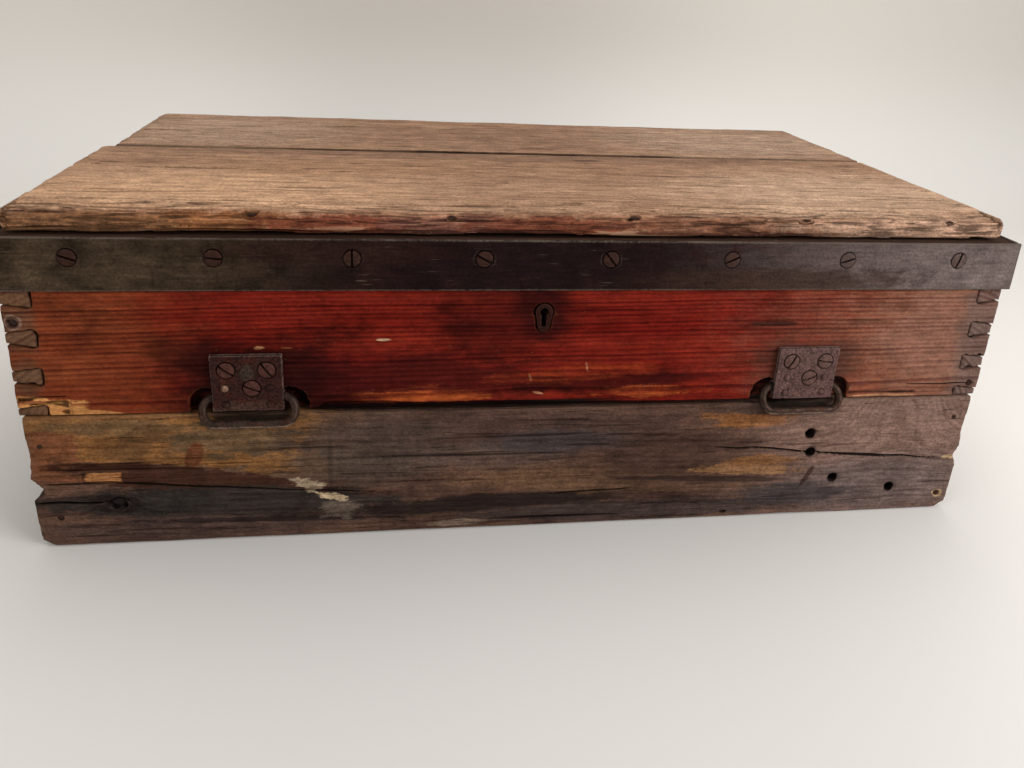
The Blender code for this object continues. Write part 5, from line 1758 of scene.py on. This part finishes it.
class Tree(Nodes):
    """A Geometry Nodes tree with named inputs, and the plain mesh that it makes."""

    def __init__(self, name: str, *floats: str, **others: str) -> None:
        """Makes an empty tree.

        Args:
            name: The tree's name.
            floats: The names of the inputs that are numbers.
            others: The kinds of the other inputs, by their names.
        """
        super().__init__(bpy.data.node_groups.new(name, "GeometryNodeTree"))
        self.floats = floats
        self.inputs: dict[str, str] = {}
        self.source = self.tree.nodes.new("NodeGroupInput")
        self.result = self.tree.nodes.new("NodeGroupOutput")
        self.tree.interface.new_socket("Geometry", in_out="OUTPUT", socket_type="NodeSocketGeometry")
        kinds = {"Geometry": "Geometry", **dict.fromkeys(floats, "Float"), **others, "Finish": "Material"}
        for field, kind in kinds.items():
            made = self.tree.interface.new_socket(field, in_out="INPUT", socket_type=f"NodeSocket{kind}")
            self.inputs[field] = made.identifier

    def given(self, *names: str) -> list[Field]:
        """The fields of named inputs."""
        return [Field(self, self.source.outputs[name]) for name in names]

    def vector(self, **parts: Value) -> Field:
        """A vector from its named parts."""
        return self.take("ShaderNodeCombineXYZ", parts)

    def moved(self, geometry: Field, **changes: Field) -> Field:
        """A geometry that is moved, turned or scaled."""
        return self.take("GeometryNodeTransform", {"Geometry": geometry, **changes})

    def marked(self, mesh: Field, relief: float) -> Field:
        """A mesh whose faces carry one relief value."""
        feeds = {"Geometry": mesh, "Name": RELIEF, "Value": relief}
        return self.take("GeometryNodeStoreNamedAttribute", feeds, data_type="FLOAT", domain="FACE")

    def on_points(self, shape: Field, **changes: Field) -> None:
        """Ends the tree with a copy of the shape at each point that came in, aimed as the point says."""
        aim = self.take("GeometryNodeInputNamedAttribute", {"Name": "aim"}, data_type="FLOAT_VECTOR")
        turn = self.take("FunctionNodeEulerToRotation", {"Euler": aim})
        points, = self.given("Geometry")
        feeds = {"Points": points, "Instance": shape, "Rotation": turn, **changes}
        self.end(self.take("GeometryNodeInstanceOnPoints", feeds))

    def end(self, geometry: Field) -> None:
        """Realises the instances, sets the material and ends the tree."""
        real = self.take("GeometryNodeRealizeInstances", {"Geometry": geometry})
        finish, = self.given("Finish")
        dressed = self.take("GeometryNodeSetMaterial", {"Geometry": real, "Material": finish})
        self.feed(self.result.inputs[0], dressed)

    def mesh(self, start: bpy.types.Mesh, values: dict[str, object], name: str) -> bpy.types.Object:
        """Runs the tree on a start mesh.

        Args:
            start: The mesh that goes in.
            values: A value for each named input.
            name: The name of the object.

        Returns:
            An object with the plain mesh that came out.
        """
        holder = add_object(f"{name}.holder", start)
        step = holder.modifiers.new("tree", "NODES")
        step.node_group = self.tree
        for key, value in values.items():
            step[self.inputs[key]] = value
        made = evaluated(holder)
        bpy.data.objects.remove(holder)
        bpy.data.meshes.remove(start)
        made.name = name
        return add_object(name, made)


@dataclass(frozen=True)
class Head:
    """One fastener: where its head lies, which way it faces, and the turn of its slot in degrees."""

    place: tuple[float, float, float]
    face: Face
    turn: float = 0.0

    def aim(self) -> tuple[float, float, float]:
        """The rotation that turns +Z to the face's outward direction, with the slot's turn."""
        outward = Vector((0, 0, 0))
        outward[self.face.column] = self.face.sign
        tilt = outward.to_track_quat("Z", "Y").to_matrix()
        return tuple((tilt @ Matrix.Rotation(math.radians(self.turn), 3, "Z")).to_euler())


def head_points(heads: Sequence[Head], name: str) -> bpy.types.Mesh:
    """A mesh of loose points with the aim of each head on it.

    Args:
        heads: The heads.
        name: The mesh's name.

    Returns:
        The mesh that a fastener tree takes.
    """
    mesh = bpy.data.meshes.new(f"{name}.points")
    mesh.from_pydata([head.place for head in heads], [], [])
    aims = mesh.attributes.new("aim", "FLOAT_VECTOR", "POINT")
    aims.data.foreach_set("vector", [part for head in heads for part in head.aim()])
    return mesh


@dataclass
class Fasteners:
    """Slotted screws, rivets and nails, each kind made by one tree and gathered into one piece for a body."""

    screw_radius: float = 5.9 * MM
    plate_screw_radius: float = 6.0 * MM
    screw_dome: float = 0.8 * MM
    slot_width: float = 1.5 * MM
    shank_radius: float = 2.2 * MM
    band_turns: tuple[float, ...] = (-20, -6, 90, -28, -50, 24, 17, 74)
    plate_turns: tuple[tuple[float, ...], ...] = ((-37, -54, -24), (62, -8, 20))
    side_screws: tuple[float, ...] = (-0.152, -0.06, 0.032, 0.124)
    leaf_inset: float = 4.4 * MM
    lock_inset: float = 4.2 * MM
    lock_rise: float = 5 * MM
    lock_drop: float = 14 * MM
    lock_turn: float = 5000
    keeper_inset: float = 3.9 * MM
    rivet_sink: float = 0.3 * MM
    nail_sink: float = 0.8 * MM
    bottom_nail_height: float = 7.5 * MM

    def screw_tree(self) -> Tree:
        """A tree that puts a slotted countersunk screw at each point."""
        tree = Tree(
            "slotted_screws", "Head Radius", "Dome", "Countersink", "Slot Width", "Slot Depth", "Shank Radius",
            "Shank Length",
        )
        head, dome, sink, width, deep, thin, length = tree.given(*tree.floats)
        ball = tree.take("GeometryNodeMeshUVSphere", {"Segments": 28, "Rings": 12, "Radius": head})
        cap = tree.moved(ball, Scale=tree.vector(X=1.0, Y=1.0, Z=dome / head))
        cone = tree.take("GeometryNodeMeshCone", {
            "Vertices": 28, "Radius Top": head, "Radius Bottom": thin, "Depth": sink,
        })
        under = tree.moved(cone, Translation=tree.vector(Z=sink * -1.0))
        shank = tree.take("GeometryNodeMeshCylinder", {"Vertices": 12, "Radius": thin, "Depth": length})
        stem = tree.moved(shank, Translation=tree.vector(Z=length * -0.5 - dome))
        whole = tree.node("GeometryNodeMeshBoolean", operation="UNION")
        for part in (cap, under, stem):
            tree.feed(whole.inputs["Mesh 2"], part)
        solid = tree.marked(Field(tree, whole.outputs[0]), 0.3)
        depth = deep + dome * 2.0
        size = tree.vector(X=head * 3.0, Y=width, Z=depth)
        # The slot's faces carry relief -1, which paints shade into the slot.
        blade = tree.marked(tree.take("GeometryNodeMeshCube", {"Size": size}), -1.0)
        slot = tree.moved(blade, Translation=tree.vector(Z=depth * 0.5 - deep))
        cut = tree.take("GeometryNodeMeshBoolean", {"Mesh 1": solid, "Mesh 2": slot}, operation="DIFFERENCE")
        tree.on_points(tree.take("GeometryNodeSetShadeSmooth", {"Geometry": cut, "Shade Smooth": False}))
        return tree

    def stud_tree(self) -> Tree:
        """A tree that puts a low round head at each point, each of a slightly different size."""
        tree = Tree("studs", "Radius", "Height", "Spread", Seed="Int")
        radius, height, spread, seed = tree.given(*tree.floats, "Seed")
        ball = tree.take("GeometryNodeMeshUVSphere", {"Segments": 16, "Rings": 8, "Radius": radius})
        low = tree.moved(ball, Scale=tree.vector(X=1.0, Y=1.0, Z=height / radius))
        smooth = tree.take("GeometryNodeSetShadeSmooth", {"Geometry": low})
        least, most = (tree.math(operation, 1.0, spread) for operation in ("SUBTRACT", "ADD"))
        chance = tree.take("FunctionNodeRandomValue", {"Seed": seed, 2: least, 3: most}, 1, data_type="FLOAT")
        tree.on_points(smooth, Scale=chance)
        return tree

    @staticmethod
    def gather(tree: Tree, heads: Sequence[Head], values: dict[str, object], name: str, body: Body, slot: Slot,
               nodes: Sequence[str] = ()) -> None:
        """Makes one piece of all the heads of a kind on a body.

        Args:
            tree: The tree that makes them.
            heads: Where they are.
            values: The tree's other inputs.
            name: The piece's name.
            body: The body that it moves with.
            slot: The record's slot that its finish is for; it is not used.
            nodes: The nodes that it replaces.
        """
        keep(tree.mesh(head_points(heads, name), values, name), body, nodes)

    def screw_heads(self, nodes: Sequence[str], turns: Sequence[float]) -> list[Head]:
        """Heads at the places of screw nodes in the front.

        Args:
            nodes: The screw nodes.
            turns: The turn of each slot in degrees.

        Returns:
            One head for each node.
        """
        heads = []
        for node, turn in zip(nodes, turns):
            low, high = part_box(node)
            face = low.y + self.screw_dome
            heads.append(Head(((low.x + high.x) / 2, face, (low.z + high.z) / 2), FRONT, turn))
        return heads

    def build(self) -> None:
        """Makes the screws of the band and the plates, the small screws, the rivets and the nails."""
        finish = SCREW_STEEL.dress("screw_steel")
        nail = NAIL_IRON.dress("nail_iron")
        screws = self.screw_tree()
        studs = self.stud_tree()
        large = {
            "Head Radius": self.screw_radius, "Dome": self.screw_dome, "Countersink": 3.5 * MM,
            "Slot Width": self.slot_width, "Slot Depth": 1.0 * MM, "Shank Radius": self.shank_radius,
            "Shank Length": 16 * MM, "Finish": finish,
        }
        band_nodes = [f"band_screw_{i + 1}" for i in range(len(self.band_turns))]
        heads = self.screw_heads(band_nodes, self.band_turns)
        for face in (LEFT, RIGHT):
            low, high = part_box(f"band_{face.name.lower()}")
            outer = high.x if face.sign > 0 else low.x
            for i, y in enumerate(self.side_screws):
                heads.append(Head((outer, y, heads[0].place[2]), face, 37.0 * i - 60))
        self.gather(screws, heads, large, "lid_band_screws", Body.LID, Slot.SCREW, band_nodes)
        plate_nodes = [f"ring_screw_{side}_{i + 1}" for side in ("left", "right") for i in range(3)]
        heads = self.screw_heads(plate_nodes, [turn for turns in self.plate_turns for turn in turns])
        plate = {**large, "Head Radius": self.plate_screw_radius, "Dome": 1.1 * MM,
                 "Finish": PLATE_SCREW_STEEL.dress("plate_screw_steel")}
        self.gather(screws, heads, plate, "ring_plate_screws", Body.CASE, Slot.SCREW, plate_nodes)
        self.small_screws(screws, finish)
        self.rivets(studs, PLATE_IRON.dress("rivet_iron"))
        self.nails(studs, nail)

    def small_screws(self, screws: Tree, finish: bpy.types.Material) -> None:
        """Makes the screws of the hinge leaves, the lock plate and the keeper.

        Args:
            screws: The tree that makes screws.
            finish: Their material.
        """
        small = {
            "Head Radius": 3.4 * MM, "Dome": 0.1 * MM, "Countersink": 1.6 * MM, "Slot Width": 0.8 * MM,
            "Slot Depth": 0.5 * MM, "Shank Radius": 1.3 * MM, "Shank Length": 9 * MM, "Finish": finish,
        }
        case_heads, lid_heads = [], []
        for side in ("left", "right"):
            for heads, node, face in (
                (case_heads, f"hinge_case_leaf_{side}", TOP), (lid_heads, f"hinge_lid_leaf_{side}", UNDER)
            ):
                low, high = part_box(node)
                top = rim_height(face)
                for i, share in enumerate((0.14, 0.5, 0.86)):
                    x = low.x + share * (high.x - low.x)
                    heads.append(Head((x, low.y + self.leaf_inset, top), face, 40.0 * i + 15))
        low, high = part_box("lock_plate")
        for x in (low.x + self.lock_inset, high.x - self.lock_inset):
            for z in (low.z + self.lock_rise, high.z - self.lock_drop):
                case_heads.append(Head((x, high.y, z), BACK, self.lock_turn * (x + z)))
        low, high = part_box("lock_keeper")
        for x in (low.x + self.keeper_inset, high.x - self.keeper_inset):
            lid_heads.append(Head((x, (low.y + high.y) / 2, rim_height(UNDER)), UNDER, 30.0))
        self.gather(screws, case_heads, small, "hinge_and_lock_screws", Body.CASE, Slot.SCREW)
        self.gather(screws, lid_heads, small, "hinge_and_keeper_screws", Body.LID, Slot.SCREW)

    def rivets(self, studs: Tree, iron: bpy.types.Material) -> None:
        """Makes four rivets in each ring plate.

        Args:
            studs: The tree that makes low round heads.
            iron: Their material.
        """
        ironwork = Ironwork()
        heads = []
        for side in ("left", "right"):
            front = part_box(f"ring_plate_{side}")[0].y + self.rivet_sink
            heads += [Head((x, front, z), FRONT) for x, z in ironwork.rivets(side)]
        values = {"Radius": ironwork.rivet_radius, "Height": 2.0 * MM, "Spread": 0.12, "Seed": 4, "Finish": iron}
        self.gather(studs, heads, values, "ring_plate_rivets", Body.CASE, Slot.IRON)

    def nails(self, studs: Tree, iron: bpy.types.Material) -> None:
        """Makes the nails at the corners, in the dovetails, through the lid and in the bottom.

        Args:
            studs: The tree that makes low round heads.
            iron: Their material.
        """
        front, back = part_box("front_lower_board")[0].y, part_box("back_lower_board")[1].y
        case = [Head((x * MM, front + sink * MM, z * MM), FRONT) for x, sink, z in (
            (-363, 1.5, 182), (362.2, 2.2, 121.8), (-353, 2, 25.5), (358.7, 2, 15), (-359, 0.8, 86), (356, 0.8, 90),
        )]
        for x in (-359, 359):
            for z in (22, 55, 90):
                case.append(Head((x * MM, back - self.nail_sink, z * MM), BACK))
        for number in range(1, 6):
            low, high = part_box(f"bottom_board_{number}")
            for share in (0.25, 0.75):
                x = low.x + share * (high.x - low.x)
                case.append(Head((x, back - self.nail_sink, self.bottom_nail_height), BACK))
        lid = Lid()
        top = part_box("lid_front_board")[1].z
        places = [(x, lid.nail_y, 4.8) for x in lid.nail_places]
        places += [(x, 186.5, 2.6) for x in (-300, -150, 0, 150, 300)]
        places += [(348.4, -105, 3), (348, -152, 3), (-344, -60, 3), (-346, 98, 3), (352, 95, 3)]
        heads = [Head((x * MM, y * MM, top - sink * MM), TOP) for x, y, sink in places]
        values = {"Radius": 2.6 * MM, "Height": 0.7 * MM, "Spread": 0.15, "Seed": 9, "Finish": iron}
        self.gather(studs, case, values, "case_nails", Body.CASE, Slot.IRON)
        self.gather(studs, heads, values, "lid_nails", Body.LID, Slot.IRON)


def rim_height(face: Face) -> float:
    """The height of a hinge leaf's or the keeper's plate on the side that the closed lid hides."""
    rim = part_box("front_upper_board")[1].z
    return rim if face is TOP else rim + CLEARANCE


@dataclass
class RingHandles:
    """The two drop rings: a rounded rectangle of round bar that hangs from its plate."""

    corner: float = 9.0 * MM
    bar: float = 3.15 * MM
    drop: float = 20 * MM
    tilt: float = 23.74
    sides: int = 20
    hammered: float = 0.22 * MM
    pitted: float = 0.12 * MM
    wear_start: float = 8 * MM
    wear_end: float = 16 * MM

    def tree(self) -> Tree:
        """A tree that bends a round bar into a closed rounded rectangle, hanging from its upper bar."""
        tree = Tree("drop_ring", "Width", "Drop", "Corner", "Bar", Turn="Vector", Pivot="Vector")
        width, drop, corner, bar, turn, pivot = tree.given(*tree.floats, "Turn", "Pivot")
        path = tree.take("GeometryNodeCurvePrimitiveQuadrilateral", {"Width": width, "Height": drop})
        bent = tree.take("GeometryNodeFilletCurve", {"Curve": path, "Radius": corner, "Count": 12}, mode="POLY")
        even = tree.take("GeometryNodeResampleCurve", {"Curve": bent, "Length": 1.0 * MM}, mode="LENGTH")
        section = tree.take("GeometryNodeCurvePrimitiveCircle", {"Resolution": self.sides, "Radius": bar})
        tube = tree.take("GeometryNodeCurveToMesh", {"Curve": even, "Profile Curve": section})
        hung = tree.moved(tube, Translation=tree.vector(Y=drop * -0.5))
        turned = tree.moved(hung, Rotation=turn, Translation=pivot)
        tree.end(tree.take("GeometryNodeSetShadeSmooth", {"Geometry": turned}))
        return tree

    def build(self) -> None:
        """Makes both rings, forged a little uneven and worn bright outside."""
        tree = self.tree()
        iron = RING_IRON.dress("ring_iron")
        for seed, (side, body) in enumerate((("left", Body.RING_LEFT), ("right", Body.RING_RIGHT))):
            node = f"ring_{side}"
            joint = next(joint for joint in frame["joints"] if joint["child"] == body.value)
            low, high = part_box(node)
            pivot = tuple(joint["pos_m"])
            values = {
                "Width": high.x - low.x - 2 * self.bar, "Drop": self.drop, "Corner": self.corner, "Bar": self.bar,
                "Turn": (math.radians(90 - self.tilt), 0.0, 0.0), "Pivot": pivot, "Finish": iron,
            }
            piece = tree.mesh(bpy.data.meshes.new(f"{node}.start"), values, f"forged_{node}")
            self.forge(piece.data, pivot, seed)
            keep(piece, body, [node])

    def forge(self, mesh: bpy.types.Mesh, pivot: Sequence[float], seed: int) -> None:
        """Gives the bar the unevenness of a smith's work, and marks where hands wore it.

        Args:
            mesh: The ring's mesh.
            pivot: The middle of the bar that it hangs from.
            seed: The seed of its unevenness.
        """
        points, normals = read_mesh(mesh)
        noise = Noise(200 + seed)
        uneven = self.hammered * (0.5 + 0.5 * noise(points, (60, 60, 60), 2))
        uneven += self.pitted * smoothstep(noise(points, (300, 300, 300), 2), 0.2, 0.7)
        write_mesh(mesh, points - normals * uneven[:, None])
        below = smoothstep(points[:, 2], pivot[2] - self.wear_start, pivot[2] - self.wear_end)
        outward = smoothstep(-normals[:, 2] - 0.6 * normals[:, 1], 0.55, 1.05)
        store_relief(mesh, np.clip(outward * (0.35 + 0.65 * below), 0, 1))


@dataclass
class Studio:
    """The pale floor and backdrop, the soft lights and the camera at the photograph's viewing angle."""

    width: int = 1024
    height: int = 768
    focal_px: float = 839.7
    middle_px: tuple[float, float] = (517.5, 289.7)
    place: tuple[float, float, float] = (-0.1132, -0.7625, 0.4156)
    pitch: float = 20.271
    yaw: float = 9.318
    roll: float = -3.137
    sensor: float = 36.0
    # The side colours are painted light, lighter where the side lamps fall; the wall colour is painted shade,
    # darker than the floor.
    floor_colour: Colour = (0.68, 0.66, 0.64)
    floor_side_lit_colour: Colour = (0.82, 0.795, 0.765)
    wall_shaded_colour: Colour = (0.5, 0.47, 0.43)
    wall_side_lit_colour: Colour = (0.69, 0.66, 0.61)
    wall_y: float = 1.25
    wall_radius: float = 0.55
    wall_height: float = 3.0
    reach: float = 4.0
    bend_steps: int = 12

    def build(self) -> None:
        """Sets the stage."""
        self.camera()
        self.backdrop()
        self.lights()
        bpy.context.scene.view_settings.view_transform = "Standard"

    def camera(self) -> None:
        """A camera with the pitch, yaw and roll that the chest's edges give."""
        pitch, yaw, roll = (math.radians(angle) for angle in (self.pitch, self.yaw, self.roll))
        forward = Vector((math.sin(yaw) * math.cos(pitch), math.cos(yaw) * math.cos(pitch), -math.sin(pitch)))
        level = Vector((math.cos(yaw), -math.sin(yaw), 0))
        down = forward.cross(level)
        right = math.cos(roll) * level + math.sin(roll) * down
        up = math.sin(roll) * level - math.cos(roll) * down
        lens = bpy.data.cameras.new("camera")
        lens.sensor_width = self.sensor
        lens.lens = self.focal_px / self.width * self.sensor
        lens.shift_x = (self.width / 2 - self.middle_px[0]) / self.width
        lens.shift_y = (self.middle_px[1] - self.height / 2) / self.width
        lens.clip_start = 0.01
        eye = add_object("camera", lens)
        turn = Matrix((right, up, -forward)).transposed()
        eye.matrix_world = Matrix.Translation(self.place) @ turn.to_4x4()
        bpy.context.scene.camera = eye

    def backdrop(self) -> None:
        """A floor that curves up into a wall behind the chest, with painted light: lighter towards the sides and
        darker on the wall.
        """
        profile = [(-self.reach, 0.0), (self.wall_y - self.wall_radius, 0.0)]
        for i in range(1, self.bend_steps + 1):
            angle = math.radians(90 * i / self.bend_steps)
            profile.append((
                self.wall_y - self.wall_radius + self.wall_radius * math.sin(angle),
                self.wall_radius * (1 - math.cos(angle)),
            ))
        profile.append((self.wall_y, self.wall_height))
        sheet = bmesh.new()
        left = [sheet.verts.new((-self.reach, y, z - CLEARANCE)) for y, z in profile]
        right = [sheet.verts.new((self.reach, y, z - CLEARANCE)) for y, z in profile]
        for i in range(len(profile) - 1):
            sheet.faces.new((left[i], right[i], right[i + 1], left[i + 1]))
        mesh = bpy.data.meshes.new("backdrop")
        sheet.to_mesh(mesh)
        sheet.free()
        mesh.shade_smooth()
        graph = Graph("pale_backdrop")
        x, _, height = graph.split(graph.place())
        # Painted light: floor and wall are lighter towards the sides, and the wall darker than the floor.
        aside = graph.math("ABSOLUTE", x)
        wall = graph.mix(graph.span(aside, 0.1, 1.0), self.wall_shaded_colour, self.wall_side_lit_colour)
        floor = graph.mix(graph.span(aside, 0.1, 0.6), self.floor_colour, self.floor_side_lit_colour)
        graph.put("Base Color", graph.mix(graph.span(height, 0.0, 0.35), floor, wall))
        graph.put("Roughness", 0.9)
        mesh.materials.append(graph.material)
        add_object("backdrop", mesh)

    def lights(self) -> None:
        """A large soft light above, a wide one at the right and a weaker one at the left."""
        world = bpy.data.worlds.new("studio")
        world.use_nodes = True
        background = world.node_tree.nodes["Background"]
        background.inputs["Color"].default_value = (1.0, 0.985, 0.965, 1.0)
        background.inputs["Strength"].default_value = 0.5
        bpy.context.scene.world = world
        self.lamp("overhead", (0.15, 0.45, 1.75), (0, 0.1, 0.1), 1.6, 13.0, (1.0, 0.98, 0.95))
        self.lamp("right", (1.15, -1.15, 0.8), (0.2, -0.2, 0.12), 0.9, 19.0, (1.0, 0.985, 0.97))
        self.lamp("left", (-1.4, -1.2, 0.8), (-0.2, -0.1, 0.12), 0.9, 5.0, (1.0, 0.97, 0.92))

    @staticmethod
    def lamp(name: str, place: Sequence[float], target: Sequence[float], size: float, watts: float,
             colour: Colour) -> None:
        """Adds a square area light.

        Args:
            name: The light's name.
            place: Where it stands.
            target: The place that it is aimed at.
            size: Its side in metres.
            watts: Its strength.
            colour: The colour of its light.
        """
        light = bpy.data.lights.new(name, "AREA")
        light.size = size
        light.energy = watts
        light.color = colour
        holder = add_object(name, light)
        holder.location = place
        aim = Vector(target) - Vector(place)
        holder.rotation_euler = aim.to_track_quat("-Z", "Y").to_euler()


def main() -> None:
    """Builds the whole chest and its studio."""
    logging.basicConfig(level=logging.INFO, format="%(name)s: %(message)s")
    Studio().build()
    Case().build()
    Lid().build()
    Ironwork().build()
    RingHandles().build()
    Fasteners().build()
    KeptNodes().dress()


if __name__ == "__main__":
    main()
